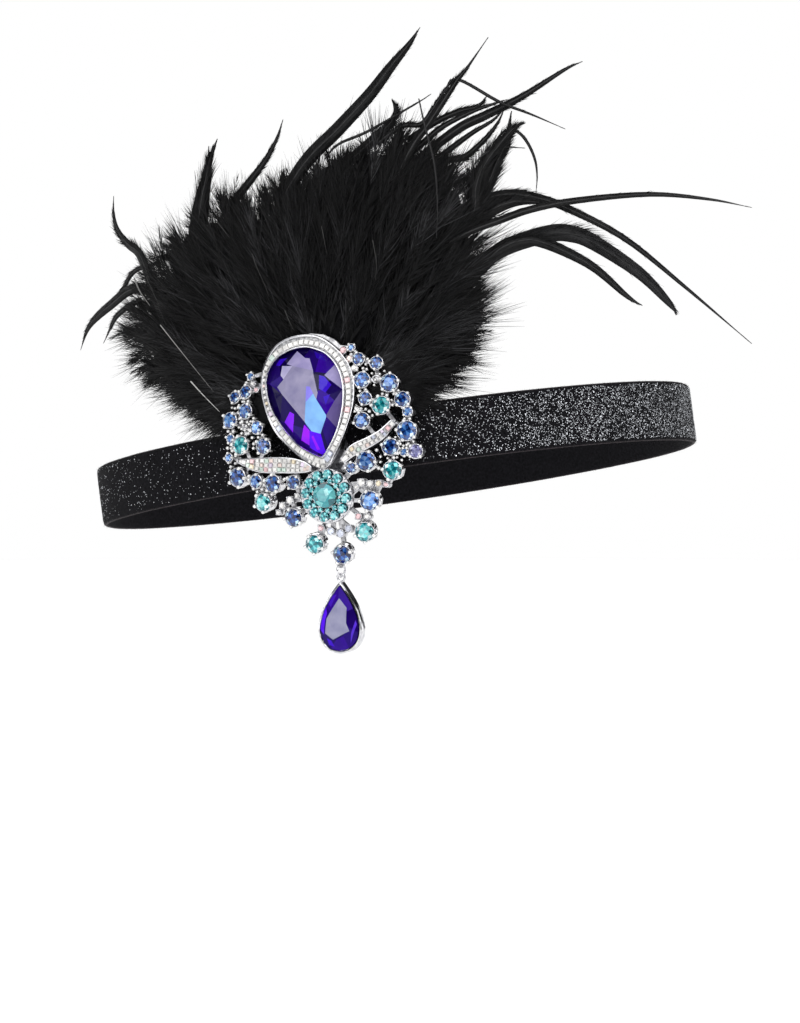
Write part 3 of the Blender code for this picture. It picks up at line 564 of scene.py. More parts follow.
# Shades of each colour of stone: deep, middle, bright and flash. Laid on the facets, the lighter and darker
# shades are painted reflections and the flash is a painted white glint
STONE_TINTS_AND_REFLECTIONS = {
    "sapphire": [(0.002, 0.006, 0.045), (0.006, 0.036, 0.2), (0.028, 0.15, 0.5), (0.6, 0.84, 1.0)],
    "light_sapphire": [(0.003, 0.018, 0.1), (0.014, 0.085, 0.34), (0.1, 0.32, 0.78), (0.75, 0.9, 1.0)],
    "aqua": [(0.0, 0.13, 0.16), (0.01, 0.34, 0.38), (0.2, 0.76, 0.74), (0.85, 1.0, 1.0)],
    "violet": [(0.02, 0.015, 0.09), (0.1, 0.09, 0.3), (0.3, 0.3, 0.6), (0.8, 0.8, 1.0)],
    "crystal": [(0.25, 0.25, 0.27), (0.55, 0.55, 0.56), (0.85, 0.84, 0.83), (1.0, 1.0, 1.0)],
}
RAINBOW = [
    (1.0, 0.68, 0.72), (1.0, 0.88, 0.66), (0.78, 0.96, 0.88),
    (0.76, 0.82, 1.0), (0.92, 0.82, 1.0), (1.0, 0.84, 0.8),
]
TABLE_SHARE = 0.55


def brilliant(diameter, colour, pale_reflecting_table):
    """A round brilliant: its points, faces and tints, with the pavilion below the girdle. The facets' tints
    are painted reflections, lighter, darker and glinting in turn, and a pale table is a painted reflection
    too.
    """
    sides = 8
    turn, fine_turn = around(sides), around(2 * sides)
    # Table, crown, girdle's top and bottom, and foot: shares of the radius and of the diameter
    rings = [(0.56, 0.52, turn), (0.8, 0.44, turn + math.pi / sides), (1.0, 0.34, fine_turn)]
    rings += [(1.0, 0.28, fine_turn), (0.45, 0.0, turn)]
    points = [ring_at(share * diameter / 2, height * diameter, turns) for share, height, turns in rings]
    points = np.concatenate([*points, [[0, 0, 0.52 * diameter]]])
    t, m, g, w, f, centre = 0, sides, 2 * sides, 4 * sides, 6 * sides, 7 * sides
    deep, mid, bright, painted_glint = np.array(STONE_TINTS_AND_REFLECTIONS[colour])
    facets = []
    for i in range(sides):
        j = (i + 1) % sides
        twice, after, next_twice = 2 * i, 2 * i + 1, (2 * i + 2) % (2 * sides)
        # The table's triangles and the crown's facets take shades in turn: painted reflections, with white
        # painted glints
        table = (deep, mid, bright, mid)[i % 4]
        if pale_reflecting_table:
            table = bright * 0.75 + painted_glint * 0.25 if i % 3 else bright
        facets += [
            ((centre, t + i, t + j), table),
            ((t + i, m + i, t + j), (mid, deep, bright, deep, painted_glint, deep, mid, bright)[i]),
            ((t + j, m + i, g + next_twice, m + j), (bright, deep, painted_glint, mid)[(i * 3) % 4]),
            ((m + i, g + twice, g + after), (bright, mid, painted_glint, mid)[i % 4]),
            ((m + i, g + after, g + next_twice), deep),
        ]
    for i in range(2 * sides):
        j = (i + 1) % (2 * sides)
        facets.append(((g + i, w + i, w + j, g + j), mid))
        if i % 2 == 0:
            foot = f + (i // 2 + 1) % sides
            facets.append(((w + i, f + i // 2, foot, w + (i + 2) % (2 * sides), w + j), deep))
    facets.append((tuple(f + i for i in reversed(range(sides))), deep))
    faces, tints = zip(*facets)
    # Each facet's painted reflection is made lighter or darker at random
    return points, faces, np.array(tints) * rng.uniform(0.75, 1.2, (len(faces), 1))


def small_cut(diameter, height, tint, sides=8, table=TABLE_SHARE, start=None):
    """A tiny stone: a table, a ring of facets and a short girdle, closed below."""
    turn = around(sides) + (rng.uniform(0, 1) if start is None else start)
    rings = [(table, height), (1, height * 0.45), (1, 0), (0.3, -height * 0.4)]
    points = np.concatenate([ring_at(share * diameter / 2, level, turn) for share, level in rings])
    foot = tuple(3 * sides + i for i in reversed(range(sides)))
    faces = [tuple(range(sides)), *downward_faces(4, sides), foot]
    # The table and the facets take random shades as painted reflections, and the foot is painted darker as
    # shade
    shades = [rng.uniform(0.8, 1.1), *rng.uniform(0.55, 1.2, 3 * sides), 0.4]
    return points, faces, np.outer(shades, tint)


def crystal_tint(share):
    """White for a small crystal, or a share of the time one of the rainbow's tints."""
    white = np.array([1.0, 0.985, 0.965]) * rng.uniform(0.86, 1.0)
    if rng.uniform() < share:
        return white * RAINBOW[rng.integers(len(RAINBOW))]
    return white


def stone_place(name):
    """Where a single stone of the frame sits: across, up, seat height above the dome, diameter."""
    points = node_points(name)
    middle = (points.max(0) + points.min(0)) / 2
    for _ in range(3):
        outwards = dome_normal(*middle[:2])
        height = (points - middle) @ outwards
        flat = points - middle - height[:, None] * outwards
        base = middle + outwards * height.min()
        middle = base + outwards * (height.max() - height.min()) / 2
    return base[0], base[1], base[2] + sag(*base[:2]), np.linalg.norm(flat, axis=1).max() * 2


def single_stones():
    """Name, place, diameter and colour of each single stone."""
    colours = {row["node"]: row["material_slot"] for row in frame["record"]["subparts"]}
    names = [name for name in sorted(frame["nodes"]) if name.endswith("_stone") and name not in LARGE_STONES]
    return [(name, *stone_place(name), colours[name]) for name in names]


def make_single_stones(looks, rows):
    pieces = []
    for name, across, up, height, diameter, colour in rows:
        # Most light sapphires and some others get a pale table, a painted reflection
        pale = rng.uniform() < (0.75 if colour == "light_sapphire" else 0.35)
        soup = Soup()
        soup.put(brilliant(diameter, colour, pale), across, up, height)
        gem = soup.made(name.replace("_stone", "_gem"), looks["gem"])
        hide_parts(name)
        pieces.append(gem)
    return pieces


CUP_SIDES = 24
SMALL_STONE = 4.4


def make_settings(looks, rows):
    """Round cups with prongs that hold the single stones."""
    cups, prongs = Soup(), Soup()
    tip, tip_faces = ball(1.0)
    for _, across, up, height, diameter, _ in rows:
        radius, rise, top = diameter / 2, 0.3 * diameter, 0.4 * diameter
        profile = [(0.05, rise), (0.28, rise), (0.38, rise - 0.35), (0.38, -0.6)]
        profile += [(0.3, -2.2), (-0.3, -2.2), (0.05, 0)]
        rings = np.stack([ring_at(radius + out, level, around(CUP_SIDES)) for out, level in profile], 1)
        cups.put((rings, grid_faces(CUP_SIDES, len(profile), True, True)), across, up, height)
        start = rng.uniform(0, 2 * math.pi)
        size = 0.34 + 0.05 * diameter
        for foot in ring_at(radius + 0.22, 0, start + around(4 if diameter < SMALL_STONE else 5)):
            prongs.put((tip * size * [1, 1, 1.15] + foot + [0, 0, top], tip_faces), across, up, height)
            prongs.put(post(foot - [0, 0, 0.4], foot + [0, 0, top], size * 0.8), across, up, height)
    for index, first in enumerate(rows):
        for second in rows[index + 1:]:
            add_gap_beads(prongs, first, second)
    pieces = [cups.made("stone_cups", looks["silver"], True)]
    pieces.append(prongs.made("stone_prongs", looks["bead_silver"], True))
    return pieces


def add_gap_beads(soup, first, second):
    """Two beads on posts that fill the gap between neighbouring stones."""
    one, other = np.array(first[1:3]), np.array(second[1:3])
    apart = np.linalg.norm(other - one)
    room = apart - (first[4] + second[4]) / 2
    if not 0.2 < room < 3.4:
        return
    ahead = (other - one) / apart
    middle = one + ahead * (first[4] / 2 + room / 2)
    points, faces = ball(1.0)
    for side in (-1, 1):
        across, up = middle + np.array([-ahead[1], ahead[0]]) * side * rng.uniform(0.6, 1.1)
        height = min(first[3], second[3]) + rng.uniform(0.4, 1.0)
        soup.put((points * rng.uniform(0.4, 0.6), faces), across, up, height)
        soup.put(post([0, 0, -2.0], [0, 0, 0], 0.3), across, up, height)


# Pear stones: a crown of flat facets with reflections laid into them

TINY = 1e-9


def facet_planes(outline, girdle, top, steps):
    """Planes of the crown, each a (slope across, slope up, height) of height over the outline's plane."""
    planes = [(0.0, 0.0, top)]
    normal = -normals_2d(outline)
    for every, first, slope, lift in steps:
        for index in range(first, len(outline), every):
            inwards = normal[index] * slope
            planes.append((*inwards, girdle + lift - inwards @ outline[index]))
    return planes


def clipped(polygon, plane, other):
    """The part of a convex polygon where one plane lies lower than another."""
    slope_across, slope_up, rise = np.subtract(plane, other)
    value = [slope_across * x + slope_up * y + rise for x, y in polygon]
    kept = []
    for index, (point, here) in enumerate(zip(polygon, value)):
        after, there = polygon[(index + 1) % len(polygon)], value[(index + 1) % len(polygon)]
        if here <= TINY:
            kept.append(point)
        if (here < -TINY and there > TINY) or (here > TINY and there < -TINY):
            share = here / (here - there)
            kept.append(tuple(np.add(point, np.subtract(after, point) * share)))
    return kept


def crown_cells(outline, planes):
    """Each plane that shows in the crown, with the polygon in which it does."""
    cells = []
    for plane in planes:
        polygon = [tuple(point) for point in outline]
        for other in planes:
            if other is not plane and len(polygon) > 2:
                polygon = clipped(polygon, plane, other)
        if len(polygon) > 2:
            cells.append((plane, anticlockwise(polygon)))
    return cells


def inside(polygon, point):
    """Whether a point lies in a polygon, by the edges that cross its level to the right of it."""
    x, y = np.array(polygon, float).T
    after_x, after_y = np.roll(x, -1), np.roll(y, -1)
    crosses = (y > point[1]) != (after_y > point[1])
    rise = np.where(crosses, after_y - y, 1)
    reach = x + (point[1] - y) * (after_x - x) / rise
    return (crosses & (point[0] < reach)).sum() % 2 == 1


def faceted_stone(soup, outline, girdle, band, floor, planes, tints, patches, place):
    """A cut stone of any convex outline, whose facets take the given tints in turn as painted reflections,
    with patches of painted reflection that keep to the facets.
    """
    outline = np.array(anticlockwise(outline))
    cells = crown_cells(outline, planes)
    points, faces = [], []
    for polygon in [polygon for _, polygon in cells] + [anticlockwise(polygon) for polygon, _ in patches]:
        faces.append(list(range(len(points), len(points) + len(polygon))))
        points += polygon
    result = delaunay_2d_cdt([Vector(point) for point in points], [], faces, 0, 1e-5)
    flat = np.array([tuple(point) for point in result[0]])
    slopes = np.array([plane for plane, _ in cells])
    top_points, top_tints = [], []
    for triangle in result[2]:
        corners = flat[list(triangle)]
        centre = corners.mean(0)
        if not inside(outline, centre):
            continue
        cell = int(np.argmin(slopes @ [*centre, 1]))
        # A facet takes its tint in turn, a painted reflection, and a patch over it gives the patch's painted
        # reflection
        tint = tints[cell % len(tints)]
        for polygon, colour in patches:
            if inside(polygon, centre):
                tint = colour
        top_points += [(x, y, slopes[cell] @ [x, y, 1]) for x, y in corners]
        top_tints.append(tint)
    soup.add(place(np.array(top_points)), np.arange(len(top_points)).reshape(-1, 3), top_tints)
    middle, count = outline.mean(0), len(outline)
    rings = [(1, girdle), (1, girdle - band), (0.6, floor)]
    body = np.concatenate([at_level(middle + (outline - middle) * share, height) for share, height in rings])
    foot = tuple(2 * count + index for index in reversed(range(count)))
    soup.add(place(body), downward_faces(3, count) + [foot], tints[1])


# Reflections in the large pear: outline across and up, and colour
PEAR_PATCHES = [
    ([(-11.0, 18.8), (-8.3, 20.6), (-5.5, 24.1), (-2.4, 23.0), (0.9, 21.8), (2.1, 15.2), (1.5, 13.2),
      (-2.6, 7.3)],
     (0.31, 0.29, 0.43)),
    ([(-4.9, 28.5), (-1.8, 25.9), (-0.5, 25.6), (0.9, 21.8), (-2.4, 23.0), (-5.5, 24.1), (-7.6, 25.0)],
     (0.35, 0.31, 0.54)),
    ([(-9.2, 24.7), (-5.5, 24.1), (-8.3, 20.6), (-9.4, 22.0)], (0.48, 0.45, 0.66)),
    ([(-1.2, 17.5), (-0.1, 17.3), (1.5, 13.4), (3.6, 8.3), (1.2, 3.5), (-1.0, 4.3), (-2.6, 7.3)],
     (0.24, 0.5, 0.9)),
    ([(-1.2, 17.5), (-0.1, 17.3), (0.8, 15.1), (-1.7, 13.0)], (0.28, 0.24, 0.85)),
    ([(6.7, 23.0), (8.0, 20.6), (8.5, 18.1), (8.3, 15.3), (4.0, 20.0)], (0.33, 0.29, 0.52)),
    ([(8.3, 15.4), (8.5, 13.0), (7.7, 9.4), (5.6, 4.3), (3.4, 8.3)], (0.12, 0.09, 0.25)),
    ([(-10.1, 8.5), (-7.4, 11.1), (-6.0, 10.2), (-6.6, 8.2), (-7.9, 5.2)], (0.24, 0.015, 0.95)),
    ([(-5.6, 2.6), (-3.0, 6.7), (-1.7, 4.8), (-3.0, 0.7)], (0.34, 0.01, 1.0)),
    ([(-1.7, 4.8), (1.2, 3.5), (1.4, -1.6), (0.2, -2.4), (-3.1, 0.1)], (0.1, 0.005, 0.95)),
    ([(-1.6, 3.0), (-0.9, 3.3), (0.1, -0.9), (-0.9, -0.9)], (0.32, 0.01, 1.0)),
    ([(-10.3, 26.9), (-7.8, 26.9), (-10.0, 24.9), (-11.7, 25.3)], (0.035, 0.003, 0.5)),
    ([(2.6, 20.2), (4.0, 19.6), (5.7, 17.0), (4.1, 14.9), (2.5, 16.3)], (0.04, 0.006, 0.55)),
    ([(3.4, 13.8), (5.2, 14.3), (3.8, 11.5)], (0.04, 0.006, 0.5)),
    ([(0.5, 27.6), (3.2, 26.0), (4.0, 24.2), (1.5, 25.4)], (0.02, 0.002, 0.3)),
]
# The pear's violet in six shades, which the crown's facets take in turn as painted reflections
PEAR_TINTS_AND_REFLECTIONS = [
    (0.012, 0.002, 0.11), (0.005, 0.001, 0.05), (0.018, 0.002, 0.17),
    (0.008, 0.001, 0.08), (0.03, 0.002, 0.26), (0.004, 0.001, 0.04),
]


PEAR_GIRDLE = 7.0
PEAR_TOP = 11.1
PEAR_FLOOR = 4.8


def make_pear_gem(looks):
    outline = smooth_loop(HALO_INNER, 48)
    # Every sixth side has a steep facet, and between them lies a flatter one
    planes = facet_planes(outline, PEAR_GIRDLE, PEAR_TOP, [(6, 0, 0.62, 0.1), (6, 3, 0.46, 0.7)])
    soup = Soup()
    faceted_stone(soup, outline, PEAR_GIRDLE - 0.3, 0.4, PEAR_FLOOR, planes, PEAR_TINTS_AND_REFLECTIONS, PEAR_PATCHES, domed)
    gem = soup.made("pear_gem", looks["pear_glass"])
    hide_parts("pear_stone")
    return gem


# Fields of small stones

# Halo's outer edge and the stone's edge inside it, point down: across and up
HALO_OUTER = [
    (1.2, -6.4), (4.0, -3.2), (7.2, 1.5), (10.0, 6.9), (11.7, 12.0), (12.1, 17.0), (11.3, 21.4), (9.2, 25.3),
    (6.2, 28.7), (2.6, 31.5), (-1.5, 32.9), (-6.5, 33.0), (-11.0, 31.6), (-14.2, 28.6), (-16.4, 24.2),
    (-17.0, 19.0), (-16.5, 14.8), (-15.3, 10.0), (-13.3, 5.6), (-10.3, 1.8), (-6.0, -2.9), (-1.8, -5.9),
]
HALO_INNER = [
    (0.6, -2.8), (2.2, -1.1), (4.2, 1.5), (5.8, 4.2), (7.2, 7.5), (8.2, 10.9), (8.7, 14.7), (8.6, 17.6),
    (8.1, 20.1), (7.2, 22.3), (5.7, 24.6), (3.2, 26.9), (-1.4, 28.9), (-5.3, 29.1), (-8.9, 28.2),
    (-11.3, 27.0), (-13.4, 24.8), (-14.5, 22.3), (-14.9, 20.0), (-14.6, 16.4), (-13.7, 13.0), (-11.6, 8.8),
    (-9.1, 4.9), (-6.6, 1.7), (-3.8, -0.6), (-1.2, -2.3),
]
HALO_MIDDLE = (-2.5, 14.0)
HALO_LIP = 0.5
HALO_SECTIONS = 240
HALO_ROW = 2.0
LOOSE_CRYSTAL_TURNS = np.radians([14, 25, 36, 47])


def halo_reach(outline, turns):
    """Distance of an outline from the halo's middle in the direction of each turn."""
    rows = smooth_loop(outline, HALO_SECTIONS) - HALO_MIDDLE
    angles = np.arctan2(rows[:, 1], rows[:, 0])
    return np.interp(turns, angles, np.linalg.norm(rows, axis=1), period=2 * math.pi)


def bed(left, right, top, closed):
    """A flat bed for small stones between two lines, the first on the left of their run."""
    corners = ((left, PAVE_BACK), (left, top), (right, top), (right, PAVE_BACK))
    points = domed(np.stack([at_level(line, height) for line, height in corners], 1))
    return points, grid_faces(len(left), 4, True, True) if closed else capped_faces(len(left), 4)


def stretches(zone, least):
    """Slices of an array of yes and no where it says yes, at least so many places long."""
    edges = np.flatnonzero(np.diff(np.concatenate([[0], zone.astype(int), [0]])))
    return [slice(first, last) for first, last in zip(edges[::2], edges[1::2]) if last - first >= least]


SQUARE_CUT_HEIGHT = 0.62
SQUARE_CUT_TABLE = 0.68
SQUARE_CUT_SUNK = 0.15


def pave_row(stones, beads, line, size, height, share):
    """A row of small square crystals with two beads in each gap; the line's third column is its room."""
    spots = along(line, size)
    for (across, up, room), heading in zip(spots, np.gradient(spots[:, :2], axis=0)):
        start = math.atan2(heading[1], heading[0]) + math.pi / 4
        width = min(room, size) * rng.uniform(1.22, 1.34)
        cut = small_cut(width, SQUARE_CUT_HEIGHT, crystal_tint(share), 4, SQUARE_CUT_TABLE, start)
        stones.put(cut, across, up, height - SQUARE_CUT_SUNK)
    bead = ball(0.2, 4, 6)
    run = run_of(line[:, :2])
    columns = (*line.T, *left_normals(line[:, :2]).T)
    for spot in np.arange(0, run[-1] + 0.01, run[-1] / max(2, int(round(run[-1] / size)))):
        across, up, room, *aside = (np.interp(spot, run, column) for column in columns)
        shift = np.array(aside) * min(room, size) * 0.42
        for side in (-1, 1):
            beads.put(bead, across + side * shift[0], up + side * shift[1], height + 0.02)


def field_pieces(name, node_name, soups, looks):
    """The setting, floor, crystals and beads of a field of small stones, in the place of its solid."""
    # The floor takes the silver that is painted darker as shade
    kinds = [("setting", "silver", "silver", True), ("floor", "shaded_pave_floor", "silver", False)]
    kinds += [("crystals", "crystal", "crystal", False), ("beads", "bead_silver", "silver", True)]
    pieces = []
    for soup, (kind, look, slot_name, smooth) in zip(soups, kinds):
        pieces.append(soup.made(f"{name}_{kind}", looks[look], smooth))
    shade_sharp(pieces[0])
    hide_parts(node_name)
    return pieces


def make_halo(looks):
    metal, floor, stones, beads = soups = [Soup() for _ in range(4)]
    turns = np.linspace(-math.pi, math.pi, HALO_SECTIONS, endpoint=False)
    ray = polar((0, 0), 1, turns)
    near, far = halo_reach(HALO_INNER, turns), halo_reach(HALO_OUTER, turns)
    inner, outer = HALO_MIDDLE + ray * near[:, None], HALO_MIDDLE + ray * far[:, None]
    floor.add(*bed(inner, outer, PAVE_FRONT - 0.3, True))

    top = PAVE_FRONT + 0.9
    lip = [(-0.05, PAVE_BACK), (-0.05, top - 0.2), (0.12, top), (0.35, top)]
    rim(metal, inner, lip + [(HALO_LIP, top - 0.25), (HALO_LIP, PAVE_BACK)])
    # The outer edge is broad over the top and down the left, and thin on the right
    broad = 0.32 + 0.4 * np.clip(np.cos(turns - math.radians(150)) + 0.55, 0, 1)
    high = PAVE_FRONT + 0.35
    shares = np.array([-1, -1, -0.75, -0.2, 0, 0])
    heights = [PAVE_BACK, high - 0.15, high, high, high - 0.25, PAVE_BACK]
    rim(metal, outer, np.stack([np.outer(broad, shares), np.tile(heights, (len(turns), 1))], -1))
    # Larger loose crystals stand outside the edge at the upper right
    cup = [(-0.2, PAVE_BACK), (0.0, PAVE_FRONT - 0.3), (0.2, PAVE_FRONT - 0.5), (0.12, PAVE_BACK)]
    for turn in LOOSE_CRYSTAL_TURNS:
        spot = polar(HALO_MIDDLE, halo_reach(HALO_OUTER, turn) + 0.75, turn)
        rim(metal, circle(spot, 0.95, 16), cup)
        stones.put(small_cut(1.9, 0.9, crystal_tint(0.6)), *spot, PAVE_FRONT - 0.6)

    # One row of crystals all round, and a second one where the halo has room for it
    room = far - near - HALO_LIP - broad
    main = np.minimum(room, HALO_ROW)
    line = np.c_[inner + ray * (HALO_LIP + main / 2)[:, None], main]
    pave_row(stones, beads, np.concatenate([line, line[:1]]), 1.7, PAVE_FRONT, 0.2)
    spare = room - main
    line = np.c_[inner + ray * (HALO_LIP + main + spare / 2)[:, None], spare]
    for part in stretches(spare > 0.9, 5):
        pave_row(stones, beads, line[part], 1.3, PAVE_FRONT, 0.25)
    return field_pieces("halo", "halo_pave", soups, looks)


def make_swoosh(name, line, looks):
    metal, floor, stones, beads = soups = [Soup() for _ in range(4)]
    rows = smooth_line(line, np.linspace(0, 1, 61))
    middle, half = rows[:, :2], rows[:, 2:] / 2
    normal = left_normals(middle)
    left, right = middle + normal * half, middle - normal * half
    floor.add(*bed(left, right, PAVE_FRONT - 0.6, False))
    high = PAVE_FRONT - 0.1
    edge = [(-0.35, PAVE_BACK), (-0.35, high - 0.15), (-0.2, high), (0.05, high - 0.05)]
    edge += [(0.1, high - 0.25), (0.1, PAVE_BACK)]
    rim(metal, np.concatenate([right, left[::-1]]), edge)
    room = half[:, 0] * 2 - 0.5
    # Three rows of crystals where it is broad, then two, then one
    zones = [((-0.33, 0, 0.33), room > 3.1), ((-0.25, 0.25), (room > 1.9) & (room <= 3.1))]
    zones.append(((0,), (room > 0.8) & (room <= 1.9)))
    for shares, zone in zones:
        for part in stretches(zone, 4):
            for share in shares:
                path = middle[part] + normal[part] * (room[part] * share)[:, None]
                pave_row(stones, beads, np.c_[path, room[part] / len(shares)], 1.4, PAVE_FRONT - 0.4, 0.35)
    return field_pieces(name, f"{name}_pave", soups, looks)


TABLE_GAP = 0.62


def crystal_places(name):
    """Crystals of a row, found from the tables at the front of the frame's solid: across, up, diameter."""
    points = node_points(name)
    points[:, 2] += sag(points[:, 0], points[:, 1])
    left = np.unique(points[points[:, 2] > PAVE_FRONT + 0.3].round(3), axis=0)[:, :2]
    places = []
    while len(left):
        # A table is one corner and all that lie near one of its corners
        found = np.arange(len(left)) == 0
        for _ in left:
            found = np.linalg.norm(left[:, None] - left[found], axis=2).min(1) < TABLE_GAP
        table, left = left[found], left[~found]
        centre = (table.max(0) + table.min(0)) / 2
        places.append((*centre, np.linalg.norm(table - centre, axis=1).max() * 2 / TABLE_SHARE))
    return places


def make_crystal_rows(looks):
    pieces = []
    bead = ball(0.3, 4, 6)
    cup = [(-0.2, PAVE_BACK), (0.0, PAVE_FRONT - 0.1), (0.2, PAVE_FRONT - 0.3), (0.12, PAVE_BACK)]
    for name in sorted(name for name in frame["nodes"] if name.startswith("crystal_row")):
        metal, stones = Soup(), Soup()
        for across, up, diameter in crystal_places(name):
            rim(metal, circle((across, up), diameter / 2, 16), cup)
            stones.put(small_cut(diameter * 0.97, 0.85, crystal_tint(0.7)), across, up, PAVE_FRONT - 0.45)
            for spot in polar((across, up), diameter / 2 + 0.1, around(4) + 0.6):
                metal.put(bead, *spot, PAVE_FRONT)
        setting = metal.made(f"{name}_setting", looks["silver"], True)
        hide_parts(name)
        field = stones.made(f"{name}_crystals", looks["crystal"])
        pieces += [setting, field]
    return pieces


# Flower

# Painted reflections in the flower's centre stone: outline across and up, and colour
FLOWER_REFLECTIONS = [
    ([(-2.6, -13.2), (-0.9, -11.9), (0.9, -12.2), (1.2, -14.0), (-0.4, -15.9), (-2.2, -15.3)],
     (0.15, 0.5, 0.52)),
    ([(-0.2, -12.6), (0.9, -12.2), (1.2, -14.0), (0.1, -14.3)], (0.42, 0.82, 0.8)),
]


def make_flower(looks):
    metal, petals, gem = Soup(), Soup(), Soup()
    disc = [(-4.2, PAVE_BACK), (-4.2, PAVE_FRONT - 0.5), (-0.1, PAVE_FRONT - 0.5), (0.0, PAVE_FRONT - 0.7)]
    rim(metal, circle(FLOWER_PLACE, FLOWER_RADIUS - 0.3, 64), disc + [(0.0, PAVE_BACK)])
    # Two rings of twelve small stones: radius, their diameter, turn and lift
    for radius, size, start, lift in [(6.1, 2.9, 0.0, 0.5), (4.35, 1.5, -0.26, 0.7)]:
        for spot in polar(FLOWER_PLACE, radius, around(12) + math.pi / 12 + start):
            # Half of them have a pale table, a painted reflection
            points, faces, tints = brilliant(size, "aqua", rng.uniform() < 0.5)
            petals.put((points - [0, 0, 0.3 * size], faces, tints), *spot, PAVE_FRONT + lift - 0.1)
    bead = ball(0.3, 4, 6)
    for index, turn in enumerate(around(24)):
        spot = polar(FLOWER_PLACE, 5.05 if index % 2 else 7.55, turn)
        metal.put(bead, *spot, PAVE_FRONT + 0.35)
    outline = circle(FLOWER_PLACE, 3.4, 32)
    planes = facet_planes(outline, PAVE_FRONT + 0.9, PAVE_FRONT + 2.0, [(4, 0, 0.8, 0.0), (4, 2, 0.6, 0.25)])
    # The centre stone's facets take lighter and darker aqua in turn, painted reflections
    tints = np.array(STONE_TINTS_AND_REFLECTIONS["aqua"])[[1, 2, 1, 0, 2]] * 0.9
    faceted_stone(gem, outline, PAVE_FRONT + 0.8, 0.5, PAVE_BACK, planes, tints, FLOWER_REFLECTIONS, domed)
    setting = metal.made("flower_setting", looks["silver"], True)
    shade_sharp(setting)
    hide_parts("flower_petals")
    field = petals.made("flower_petal_gems", looks["gem"])
    centre = gem.made("flower_gem", looks["gem"])
    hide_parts("flower_stone")
    return [setting, field, centre]


# Drop

DROP_LENGTH = 20.8
DROP_WIDTH = 13.4
WIRE = 0.35
WIRE_CLEARANCE = 0.12
EYELET_RADIUS = 1.1
JUMP_RING_RADIUS = 1.75
# Painted reflections in the drop's stone: outline across and up, and colour
DROP_REFLECTIONS = [
    ([(0.3, 5.6), (2.5, 2.9), (2.6, -1.4), (3.5, -3.7), (-1.4, -6.3), (-4.0, -4.6), (-3.7, -0.4)],
     (0.31, 0.31, 0.44)),
    ([(3.6, -7.3), (4.6, -4.4), (5.4, -1.8), (5.0, -0.6), (3.9, -4.6)], (0.09, 0.03, 0.6)),
    ([(-5.9, -3.4), (-5.4, 0.0), (-4.1, 3.0), (-3.6, 1.2), (-4.2, -0.8), (-4.5, -5.0)], (0.1, 0.012, 0.85)),
    ([(-3.4, 4.0), (-1.9, 6.4), (-0.7, 6.6), (-2.4, 3.0)], (0.06, 0.008, 0.5)),
    ([(-3.6, -6.0), (-2.0, -6.6), (-1.2, -8.4), (-3.0, -7.9)], (0.05, 0.004, 0.6)),
]


def hinge(name):
    """Where a joint of the frame turns, in millimetres, and its axis."""
    joint = next(joint for joint in frame["record"]["behaviour"]["joints"] if joint["name"] == name)
    return np.array(joint["pos_m"]) / MM, np.array(joint["axis"])


def make_drop(looks):
    pivot, axis = hinge("drop_swing")
    sway, _ = hinge("drop_sway")
    up = np.array([0, 0, 1.0])
    reach = 2 * WIRE + WIRE_CLEARANCE
    turn = around(48)
    link = polar((0, reach - JUMP_RING_RADIUS), JUMP_RING_RADIUS, turn)
    ring = Soup()
    ring.add(*tube(pivot + link[:, :1] * np.cross(up, axis) + link[:, 1:] * up, WIRE, 12))
    jump = ring.made("jump_ring_wire", looks["silver"], True)
    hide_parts("jump_ring")

    out = unit(OUT * [1, 1, 0])
    # Facing the drop from outside, its own axes run to the right and up
    right = np.cross(up, out)

    def hung(points):
        return sway + points[..., :1] * right + points[..., 1:2] * up + points[..., 2:] * out

    eyelet_up = reach - EYELET_RADIUS
    shift = np.array([0, eyelet_up - EYELET_RADIUS + 0.1 - DROP_LENGTH / 2])
    outline = (pear(DROP_LENGTH, DROP_WIDTH, 96) + shift)[::-1]
    well = (pear(DROP_LENGTH - 1.9, DROP_WIDTH - 1.5, 96) + shift - [0, 0.2])[::-1]
    back, floor, lip = -2.0, -1.1, 1.2
    rings = [(outline, back), (outline, lip - 0.15), (outline * 0.85 + well * 0.15, lip)]
    rings += [(outline * 0.3 + well * 0.7, lip + 0.1), (well, lip - 0.1), (well, floor)]
    metal = Soup()
    points = np.concatenate([at_level(ring_outline, height) for ring_outline, height in rings])
    metal.add(hung(points), capped_faces(len(rings), len(outline)))
    metal.add(*tube(hung(at_level(polar((0, eyelet_up), EYELET_RADIUS, turn), 0)), WIRE, 12))
    bezel = metal.made("drop_tray", looks["silver"], True)
    shade_sharp(bezel)
    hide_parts("drop_bezel")

    gem = Soup()
    inner = pear(DROP_LENGTH - 2.2, DROP_WIDTH - 1.8, 48) + shift - [0, 0.2]
    planes = facet_planes(inner, 1.2, 3.1, [(6, 0, 0.55, 0.0), (6, 3, 0.42, 0.35)])
    # The drop's facets take the pear's painted reflections, and its patches are painted reflections too
    patches = [([(x, y + shift[1]) for x, y in polygon], tint) for polygon, tint in DROP_REFLECTIONS]
    faceted_stone(gem, inner, 1.0, 0.3, -0.9, planes, PEAR_TINTS_AND_REFLECTIONS[::2], patches, hung)
    stone = gem.made("drop_gem", looks["pear_glass"])
    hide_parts("drop_stone")
    return jump, [bezel, stone]


# Plume

